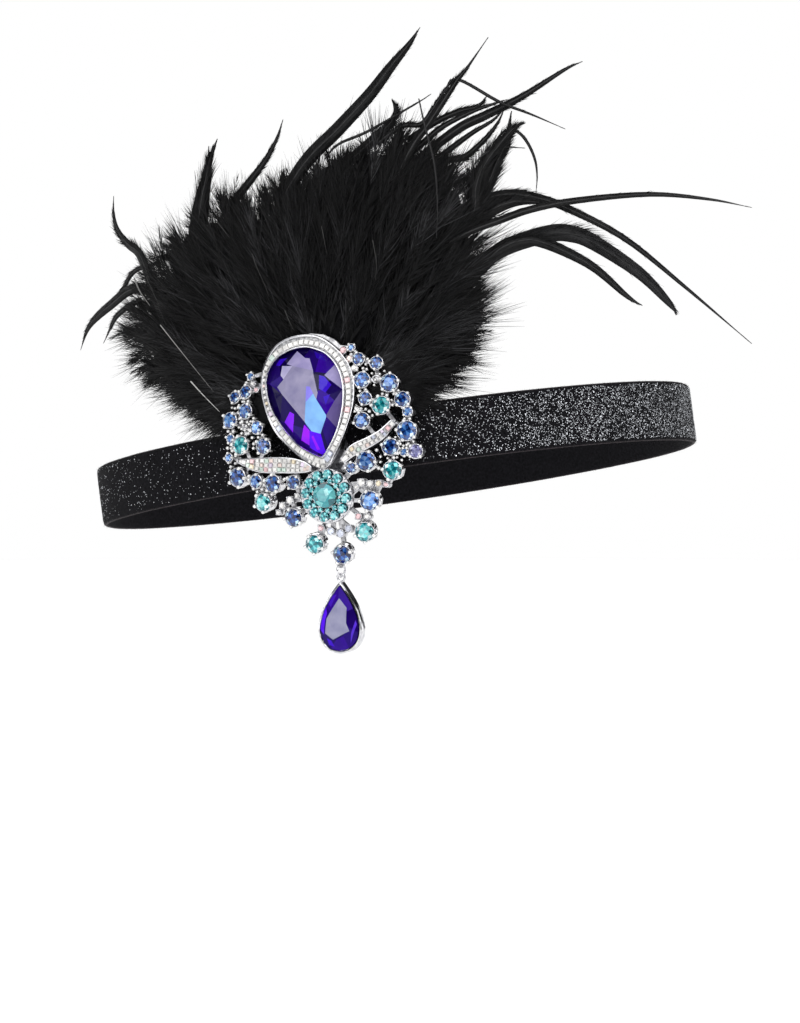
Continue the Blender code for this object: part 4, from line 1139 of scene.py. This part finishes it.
# Outline of the down round the brooch, from its low right to its low left: across and up
DOWN_OUTLINE = [
    (23, 8), (31, 13), (38, 19), (45, 28), (47, 40), (49, 54), (50, 65), (45, 74), (40, 81), (30, 86),
    (22, 86), (14, 82), (6, 79), (-2, 76), (-8, 74.5), (-15, 73), (-22, 74.5), (-28.5, 76), (-36, 70),
    (-44, 65), (-52, 63), (-56, 60), (-58, 55), (-64, 49), (-65, 42), (-59, 34), (-52, 27), (-43, 19),
    (-33, 12), (-25, 8),
]
DOWN_ROOT = (0.0, 14.0)

# Brooch's rough oval, which the down stays behind: centre up and half widths, then the depth behind it
SHIELD_UP = 6.0
SHIELD_ACROSS = 30.0
SHIELD_HIGH = 29.0
SHIELD_DEPTH = 3.6
SHIELD_SLOPE = 22

FRONT_PLUMULES = 285
EDGE_PLUMULES = 150
TUFTS = 34
LOOSE_HAIRS = 26
FEATHER_SECTIONS = 36

# Long feathers: points across and up, half width, depth, how fringed, how broad at the root, and tone
FEATHERS = [
    ([(-12, 60), (-1.8, 74.9), (5.8, 83), (15, 89.5), (25.5, 97.8), (32.9, 105), (38.7, 110.4),
      (42.3, 114.7)],
     2.9, 3, 0.5, 0.4, 1),
    ([(-2, 66), (6.2, 76.2), (17.3, 81.1), (23.8, 85.4), (28.9, 88.9), (31.6, 92.2), (31.4, 95.8)],
     2.3, 0, 1.0, 0.5, 1),
    ([(-29, 66), (-23.5, 72.6), (-18.3, 77.4), (-13.4, 81.6), (-9.1, 85.5), (-4.6, 90.8), (-1.8, 95.6)],
     1.9, -1, 0.9, 0.7, 1.5),
    ([(-35, 60), (-32.6, 69.5), (-29.8, 77.1), (-27.4, 82.1), (-25.6, 87.2), (-22.2, 93.4)],
     4.6, 3, 0.8, 1.0, 1),
    ([(-36, 62), (-32.2, 72.1), (-28.5, 82.3), (-25.9, 92)], 2.4, 1, 0.8, 1.0, 1),
    ([(-46, 38), (-50.4, 49.3), (-53.8, 61.2), (-56.2, 66.4), (-59.8, 69.5), (-62.9, 73.9), (-63.5, 78.8),
      (-62.3, 84)],
     2.2, 3, 0.7, 0.6, 1),
    ([(-40, 44), (-55, 55), (-62, 56), (-70, 53.5), (-78, 50.5), (-82, 47.5), (-85.5, 42.5)],
     2.0, 2, 0.4, 0.2, 1),
    ([(-50, 46), (-59, 52), (-68, 50.5), (-72, 48), (-76.5, 43)], 1.1, 0, 0.8, 0, 1),
    ([(-48, 62), (-59, 61.5), (-65, 58), (-71, 54)], 0.9, 0, 1.2, 0, 1),
    ([(24, 58), (30, 71), (36.4, 81.4), (40.9, 86.7), (47.6, 95.1), (50.5, 98.7), (54, 102.2),
      (60.3, 109.6)],
     1.6, 4, 0.9, 0.7, 1),
    ([(20, 62), (31.6, 74.2), (46.9, 84.6), (54.7, 87.8), (60.4, 90), (67.4, 93.1), (77.4, 98.5),
      (82, 100.2)],
     1.9, 0, 0.7, 0.5, 1),
    ([(24, 70), (32.1, 78.1), (38.5, 82.4), (44, 86.3), (52.5, 89.6), (58.7, 91), (62, 91.6)],
     1.4, 1, 0.7, 0.7, 1.5),
    ([(22, 60), (31.1, 70.2), (36.8, 74.7), (42.4, 78.5), (50.5, 83.4), (57, 86.5), (61, 89.9)],
     1.6, -1, 0.6, 0.7, 1),
    ([(28, 60), (36.4, 71.4), (42.8, 76.5), (47.8, 77.1), (53.2, 81), (57.4, 85.1), (60.3, 89.4)],
     1.5, -2, 0.9, 0.6, 1.5),
    ([(46, 94), (50, 99), (60.5, 91), (68, 86.5), (76, 81.3)], 0.55, 2, 0.3, 0, 1),
    ([(40, 46), (46, 56), (50.2, 60.8), (51.7, 67.9), (54.8, 73.5), (59, 78.2), (63.1, 82.3), (65.8, 83.8)],
     3.7, 3, 1.3, 0.8, 1),
    ([(45, 54), (53.4, 67), (56.6, 73.2), (60.3, 79.4), (63.1, 88)], 2.5, 1, 1.3, 0.8, 1),
    ([(58, 80), (61, 82.5), (64, 82), (66, 79), (67.3, 74), (67.3, 69), (66.4, 63.5)], 0.5, 2, 0.3, 0, 1),
    ([(52, 74), (56, 77), (60, 78), (65.5, 77)], 0.45, 3, 0.5, 0, 1),
    ([(36, 50), (47, 54.5), (56, 57), (65, 59.3), (77, 60.4), (95, 60), (109, 57), (119, 53.5)],
     1.4, 3, 0.4, 0.3, 1),
    ([(38, 51.5), (46, 57), (53, 60.4), (59, 62), (64, 61.8), (69, 60.4)], 3.6, 1, 0.6, 0.9, 1),
    ([(34, 56), (44, 61), (51.8, 63.9), (58.6, 64.7), (65, 63.1), (72.8, 59.1), (86.6, 48.4), (100, 32.5),
      (114.1, 14.4)],
     2.0, 0, 0.7, 0.5, 1.5),
    ([(30, 32), (40, 39), (46.9, 44.1), (53.7, 49.7), (60, 51.4), (65.8, 49.8), (76.6, 42), (84.7, 32),
      (88, 29)],
     2.6, -3, 0.5, 0.3, 1),
    ([(34, 40), (46, 46), (55, 50.5), (66.1, 52.7), (71.9, 51.9), (77.4, 48.6), (87.7, 38.6), (94, 29.2),
      (95.4, 26)],
     3.1, -6, 0.5, 0.1, 5),
    ([(41.5, 94), (42.3, 86), (43.3, 75), (42.5, 64), (41, 54)], 0.35, 9, 0.1, 0, 3),
    ([(10, 82), (14.7, 85.5), (23.6, 88), (36.6, 93.5), (42, 96)], 0.5, 1, 0.6, 0, 1),
    ([(34, 84), (43, 88.4), (48.8, 90.3), (53.2, 91), (56.3, 93.4)], 1.3, -1, 1.2, 0.5, 1),
    ([(26, 84), (33.4, 87.9), (38.5, 87.8), (42.2, 91.9), (45.9, 96.7), (50, 100.2)], 1.1, 1, 1.2, 0.6, 1.5),
]

# Pale bare quills that show in the down, then thin faint lines that are painted highlights on its strands:
# points across, up and depth, radius and shade
QUILLS_AND_HIGHLIGHT_LINES = [
    ([(-57, 58.5, 6), (-55, 54, 6.5), (-52, 49.5, 6.5)], 0.3, 0.16),
    ([(-48, 43, 8.5), (-41, 33.5, 8.8), (-32.5, 21, 7.5)], 0.16, 0.3),
    ([(-39.5, 25, 8.5), (-35.6, 20.3, 8.6), (-31, 14.8, 8)], 0.22, 0.5),
    # From here on, thin faint lines that are painted highlights on the down
    ([(-26.3, 72, 6), (-21.9, 66.6, 8), (-20.3, 63.7, 7.5)], 0.11, 0.05),
    ([(-51.5, 58, 7), (-50.9, 56.2, 7.6), (-47.9, 48.6, 7.6)], 0.11, 0.05),
    ([(-13.2, 57.8, 8.4), (-12.4, 54.2, 8.6), (-10.6, 48.6, 8.4), (-9.9, 45, 7.8)], 0.1, 0.04),
    ([(-5.4, 40.2, 8), (-4.6, 37.2, 8), (-4, 34.5, 7)], 0.1, 0.05),
    ([(23.3, 56, 8.2), (23.6, 49.6, 8.4), (22.4, 44.6, 7.6)], 0.1, 0.035),
    ([(9.1, 62.2, 8.2), (9.4, 58.1, 8.4), (9.5, 54.1, 8)], 0.09, 0.04),
]


def barbs(shaft, spots, side, length, angle, width, curl, spread, segments):
    """Tapered strips from a shaft, with one entry in each array for each barb."""
    count = len(spots)
    ahead = smooth_line(shaft, np.minimum(spots + 0.02, 1)) - smooth_line(shaft, np.maximum(spots - 0.02, 0))
    ahead = unit(ahead)
    aside = unit(np.cross([0, 0, 1.0], ahead) * side[:, None])
    lift = np.cross(ahead, aside) * side[:, None]
    grow = np.linspace(0, 1, segments + 1)
    # Each barb bends towards the tip of its feather as it grows
    bend = angle[:, None] * (1 - curl[:, None] * grow)
    step = length[:, None] / segments
    forward = np.cumsum(np.cos(bend) * step, 1) - np.cos(bend[:, :1]) * step
    sideways = np.cumsum(np.sin(bend) * step, 1) - np.sin(bend[:, :1]) * step
    rise = spread[:, None] * grow**1.5 * length[:, None]
    line = smooth_line(shaft, spots)[:, None]
    for way, run in ((ahead, forward), (aside, sideways), (lift, rise)):
        line = line + way[:, None] * run[..., None]
    tangent = unit(np.gradient(line, axis=1))
    facing = lift + rng.normal(0, 0.5, (count, 3))
    flat = unit(np.cross(tangent, facing[:, None]))
    taper = (1 - grow**1.6 * 0.9)[None, :, None] * width[:, None, None]
    points = np.stack([line - flat * taper / 2, line + flat * taper / 2], 2).reshape(-1, 3)
    first = (np.arange(count) * (segments + 1) * 2)[:, None] + np.arange(segments) * 2
    return points, np.stack([first, first + 1, first + 3, first + 2], -1).reshape(-1, 4)


def behind_brooch(points):
    """Plume points pressed back where the brooch stands in front of them, then bent round, in the frame."""
    points = np.array(points, float)
    oval = np.hypot(points[:, 0] / SHIELD_ACROSS, (points[:, 1] - SHIELD_UP) / SHIELD_HIGH)
    points[:, 2] = np.minimum(points[:, 2], SHIELD_DEPTH + np.maximum(oval - 1, 0) * SHIELD_SLOPE)
    return wrapped(points)


class Strips(Soup):
    """Feather strips straight from arrays, gathered into one mesh."""

    def add(self, points, faces, tint):
        self.points.append(points)
        self.faces.append(faces + self.count)
        self.tints.append(tint)
        self.count += len(points)

    def made(self, name, look):
        points, faces, tints = (np.concatenate(rows) for rows in (self.points, self.faces, self.tints))
        piece = big_mesh(name, behind_brooch(points), faces, look, tints)
        return piece


def strip_shades(count, segments, low, high):
    shade = np.repeat(rng.uniform(low, high, count) ** 2, segments)
    return shade[:, None] * [1.0, 1.0, 1.08]


def plumule(down, shaft, count, length, angle, width, spread, shade, start=0.05, segments=3, outwards=0.8):
    """One soft feather: barbs on both sides of a shaft, denser towards its tip."""
    spots = start + (1 - start) * np.sort(rng.uniform(0, 1, count)) ** outwards
    side = rng.choice([-1.0, 1.0], count)
    taper = np.clip(np.sin(np.pi * (0.12 + 0.78 * spots)), 0.3, 1)
    lengths = length * taper * rng.uniform(0.5, 1.2, count)
    angles = np.radians(rng.normal(angle, 9, count)).clip(0.08, 1.4)
    curl = rng.uniform(0.1, 0.9, count)
    spreads = rng.normal(0, spread, count)
    widths = width * rng.uniform(0.6, 1.3, count)
    strips = barbs(shaft, spots, side, lengths, angles, widths, curl, spreads, segments)
    down.add(*strips, strip_shades(count, segments, *shade))


def outline_reach(angle):
    """How far the down reaches from its root, in the direction of an angle."""
    rows = np.array(DOWN_OUTLINE, float) - DOWN_ROOT
    angles = np.unwrap(np.arctan2(rows[:, 1], rows[:, 0]))
    return np.interp(angle, angles, np.linalg.norm(rows, axis=1))


def down_depths(share):
    """Depths of the down's back and front at a share of its reach: thin behind the brooch, full above it."""
    shares = [0, 0.25, 0.45, 0.75, 1.0]
    back = np.interp(share, shares, [-1.0, -9.0, -11.0, -9.5, -4.0])
    return back, np.interp(share, shares, [2.0, -1.0, 4.0, 6.5, 2.5])


def spread_shaft(angle, low, high, depth, bend):
    """A soft feather's shaft over part of the reach; depth runs from the back at 0 to the front at 1."""
    reach = outline_reach(angle)
    direction = np.array([math.cos(angle), math.sin(angle)])
    aside = np.array([-direction[1], direction[0]])
    shares = np.linspace(low, high, 4)
    sway = bend * reach * (shares - low) ** 2 / max(high - low, 0.1)
    flat = DOWN_ROOT + direction * (shares * reach)[:, None] + aside * sway[:, None]
    back, front = down_depths(shares)
    return np.c_[flat, back * (1 - depth) + front * depth]


def down_core(looks):
    """A thin dark fan inside the down, which fills the gaps between its barbs."""
    shares = np.array([0.0, 0.2, 0.35, 0.5, 0.62, 0.74, 0.84, 0.92])
    middle = sum(down_depths(shares)) / 2
    sections = []
    for angle in np.linspace(math.radians(2), math.radians(178), 80):
        lump = 1 + 0.35 * math.sin(angle * 23) * math.sin(angle * 9 + 1)
        reach = outline_reach(angle) * (1 + 0.03 * math.sin(angle * 31))
        flat = polar(DOWN_ROOT, shares * reach, angle)
        half = np.sqrt(np.clip(1 - (shares / 0.93) ** 2, 0, 1)) * 3.2 * lump * np.clip(shares * 6, 0.2, 1)
        sections.append(np.concatenate([np.c_[flat, middle + half], np.c_[flat, middle - half][::-1]]))
    soup = Soup()
    soup.add(behind_brooch(np.concatenate(sections)), capped_faces(len(sections), 2 * len(shares)))
    core = soup.made("plume_core", looks["plume_core"], True)
    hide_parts("feather_plume")
    return core


def make_down(looks):
    pieces = []
    low, high = math.radians(-12), math.radians(192)
    dark = (0.03, 0.08)
    layers = [("down_back", 44, (0.0, 0.4), dark), ("down_middle", 52, (0.4, 0.8), (0.03, 0.1))]
    for name, count, depths, shade in layers:
        down = Strips()
        for angle in np.linspace(low, high, count) + rng.normal(0, 0.03, count):
            stop = rng.uniform(0.8, 0.97)
            shaft = spread_shaft(angle, 0.1, stop, rng.uniform(*depths), rng.normal(0, 0.05))
            plumule(down, shaft, 300, 14.0, 30, 0.36, 0.22, shade, start=0.25, outwards=0.6)
        pieces.append(down.made(name, looks["down"]))

    front = Strips()
    for _ in range(FRONT_PLUMULES):
        angle = rng.uniform(low, high)
        start = rng.uniform(0.08, 0.82) ** 0.9
        stop = min(start + rng.uniform(0.22, 0.42), 1.0)
        shaft = spread_shaft(angle, start, stop, rng.uniform(0.85, 1.06), rng.normal(0, 0.1))
        # Three in ten front plumules are painted lighter: a painted sheen in soft streaks
        bright = rng.uniform(0.15, 0.25) if rng.uniform() < 0.3 else 0.1
        plumule(front, shaft, 112, rng.uniform(10, 17), rng.uniform(14, 26), 0.22, 0.14, (0.03, bright))
    pieces.append(front.made("down_front", looks["down"]))

    edge = Strips()
    for _ in range(EDGE_PLUMULES):
        angle = rng.uniform(low, high)
        start = rng.uniform(0.74, 0.86)
        stop = start + rng.uniform(0.12, 0.2)
        shaft = spread_shaft(angle, start, stop, rng.uniform(0.2, 1.0), rng.normal(0, 0.25))
        plumule(edge, shaft, 95, 5.8, 26, 0.19, 0.22, dark)
    # Pointed tufts break the outline
    for angle in rng.uniform(math.radians(12), math.radians(165), TUFTS):
        start = rng.uniform(0.7, 0.8)
        shaft = spread_shaft(angle, start, rng.uniform(0.98, 1.1), rng.uniform(0.1, 1.0), rng.normal(0, 0.3))
        plumule(edge, shaft, 90, 6.0, 16, 0.2, 0.15, dark, outwards=1.0)
    # Loose hairs fan out over the low left edge
    for _ in range(LOOSE_HAIRS):
        angle = math.radians(rng.uniform(150, 182))
        shaft = spread_shaft(angle, 0.7, 1.0, rng.uniform(0.2, 0.9), rng.normal(0.12, 0.1))
        plumule(edge, shaft, 42, 15.0, 16, 0.13, 0.2, (0.03, 0.09), start=0.4, segments=4)
    pieces.append(edge.made("down_edge", looks["down"]))
    return pieces


def make_long_feathers(looks):
    vanes, fringe, shafts = Soup(), Strips(), Soup()
    shares = np.linspace(0, 1, FEATHER_SECTIONS)
    slim = np.clip(np.sin(np.pi * (0.14 + 0.86 * shares)), 0, 1) ** 0.9
    for points, width, depth, fringed, root, tone in FEATHERS:
        line = smooth_line([(x, y, depth) for x, y in points], shares)
        line[:, 2] += 0.8 * np.sin(shares * 5 + width)
        length = run_of(line)[-1]
        full = slim * (1 - root) + (1 - shares) ** 0.8 * root
        half = width * np.maximum(full, 0.04)[:, None] * 0.85
        thick = 0.12 + 0.1 * half
        ahead = unit(np.gradient(line, axis=0))
        aside = unit(np.cross([0, 0, 1.0], ahead))
        lift = np.cross(ahead, aside)
        side, top = aside * half, lift * thick
        ring = np.stack([line + side, line + top, line - side, line - top], 1)
        shade = rng.uniform(0.003, 0.007) * tone
        tint = (shade, shade, shade * 1.08)
        vanes.add(behind_brooch(ring.reshape(-1, 3)), capped_faces(FEATHER_SECTIONS, 4), tint)

        count = int(length * (8 + 14 * fringed * min(width, 1.5)))
        spots = np.sort(rng.uniform(0, 1, count))
        sides = rng.choice([-1.0, 1.0], count)
        profile = np.interp(spots, shares, np.maximum(full, 0.05))
        lengths = width * profile * rng.uniform(1.6, 2.6 + 1.2 * fringed, count) + 0.4
        lengths = np.minimum(lengths, (1.0 - spots) * length * 0.95 + 0.15)
        narrow = np.interp(spots, [0, 0.7, 1], [1, 1, 0.25])
        angles = np.radians(rng.normal(14 + 5 * fringed, 4, count)).clip(0.06, 0.8) * narrow
        widths = rng.uniform(0.16, 0.3, count)
        curl = rng.uniform(0.1, 0.9, count)
        strips = barbs(line, spots, sides, lengths, angles, widths, curl, rng.normal(0, 0.06, count), 2)
        fringe.add(*strips, strip_shades(count, 2, 0.04, 0.1 + 0.02 * tone))
        add_stem(shafts, line + top * 0.8, 0.26 if width > 1 else 0.16, (0.012, 0.012, 0.013))
    # Quills, and thin pale lines that are painted highlights
    for path, radius, shade in QUILLS_AND_HIGHLIGHT_LINES:
        add_stem(shafts, smooth_line(path, np.linspace(0, 1, 16)), radius, (shade, shade, shade * 0.97))
    pieces = [vanes.made("feather_vanes", looks["vane"], True), fringe.made("feather_fringe", looks["down"])]
    pieces.append(shafts.made("feather_shafts", looks["quill"], True))
    return pieces


def add_stem(soup, path, radius, tint):
    """A thin tapered shaft."""
    taper = np.linspace(1, 0.3, len(path))[:, None, None]
    points, faces = tube(path, 1.0, 5, False)
    soup.add(wrapped(path[:, None] + (points - path[:, None]) * radius * taper), faces, tint)


# Stage, lights and camera

# Brightness of the studio's soft patches, which the metal and the stones reflect
STUDIO_STOPS = [
    (0.25, 0.01, 0.01, 0.01), (0.45, 0.1, 0.1, 0.11), (0.6, 0.45, 0.45, 0.47), (0.78, 2.4, 2.4, 2.4),
]


def area_light(name, place, size, power):
    data = bpy.data.lights.new(name, "AREA")
    data.shape = "SQUARE"
    data.size = size
    data.energy = power
    lamp = bpy.data.objects.new(name, data)
    bpy.context.scene.collection.objects.link(lamp)
    lamp.location = place
    lamp.rotation_euler = (Vector(place) - Vector((0, 0, 0.02))).to_track_quat("Z", "Y").to_euler()


def make_stage(looks):
    mesh = bpy.data.meshes.new("floor")
    corners = at_level(circle((0, 0), 1.7, 96), -0.14)
    mesh.from_pydata(corners.tolist(), [], [tuple(range(len(corners)))])
    finished("floor", mesh, looks["pale_floor"])

    world = bpy.context.scene.world or bpy.data.worlds.new("studio")
    bpy.context.scene.world = world
    world.use_nodes = True
    tree = world.node_tree
    tree.nodes.clear()
    place = node(tree, "ShaderNodeTexCoord").outputs["Generated"]
    cells = node(tree, "ShaderNodeTexVoronoi", [("Vector", place)], Scale=4.5, feature="F1")
    patches = ramp(tree, cells.outputs["Color"], STUDIO_STOPS)
    studio = node(tree, "ShaderNodeBackground", [("Color", patches)], Strength=1.0)
    plain = node(tree, "ShaderNodeBackground", Strength=1.0, Color=(1, 1, 1, 1))
    rays = node(tree, "ShaderNodeLightPath").outputs["Is Glossy Ray"]
    mix = node(tree, "ShaderNodeMixShader", [(0, rays), (1, plain.outputs[0]), (2, studio.outputs[0])])
    node(tree, "ShaderNodeOutputWorld", [("Surface", mix.outputs[0])])

    area_light("key", (-1.3, -0.9, 1.1), 0.6, 6)
    area_light("fill", (0.3, -1.6, 0.5), 0.9, 2.5)
    area_light("rim", (0.9, 1.2, 1.2), 0.8, 5)


def make_camera():
    level, height = math.cos(VIEW_ELEVATION), math.sin(VIEW_ELEVATION)
    back = Vector((math.sin(VIEW_AZIMUTH) * level, -math.cos(VIEW_AZIMUTH) * level, height))
    right = Vector((math.cos(VIEW_AZIMUTH), math.sin(VIEW_AZIMUTH), 0))
    up = back.cross(right)
    data = bpy.data.cameras.new("camera")
    data.lens = LENS
    data.sensor_width = SENSOR
    data.clip_start = 0.05
    camera = bpy.data.objects.new("camera", data)
    bpy.context.scene.collection.objects.link(camera)
    matrix = Matrix((right, up, back)).transposed().to_4x4()
    matrix.translation = back * VIEW_DISTANCE + right * VIEW_RIGHT + up * VIEW_UP
    camera.matrix_world = matrix
    bpy.context.scene.camera = camera


def main():
    bpy.context.scene.view_settings.view_transform = "Standard"
    looks = {name: make_look(name, **settings) for name, settings in LOOKS.items()}
    make_camera()
    make_stage(looks)
    headpiece = make_band(looks)
    stones = single_stones()
    headpiece += make_single_stones(looks, stones)
    headpiece += make_settings(looks, stones)
    headpiece.append(make_pear_gem(looks))
    headpiece += make_halo(looks)
    headpiece += make_swoosh("left_swoosh", LEFT_SWOOSH, looks)
    headpiece += make_swoosh("right_swoosh", RIGHT_SWOOSH, looks)
    headpiece += make_crystal_rows(looks)
    headpiece += make_flower(looks)
    headpiece += [down_core(looks)] + make_down(looks) + make_long_feathers(looks)
    jump, drop = make_drop(looks)
    for piece in headpiece:
        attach(piece, "headpiece")
    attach(jump, "jump_ring")
    for piece in drop:
        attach(piece, "drop")
    # The frame takes the silver that is painted darker as shade
    for name, look in (("brooch_frame", "shaded_frame_silver"), ("brooch_clip", "silver")):
        metal = frame["nodes"][name]
        metal.data.materials.clear()
        metal.data.materials.append(looks[look])


main()
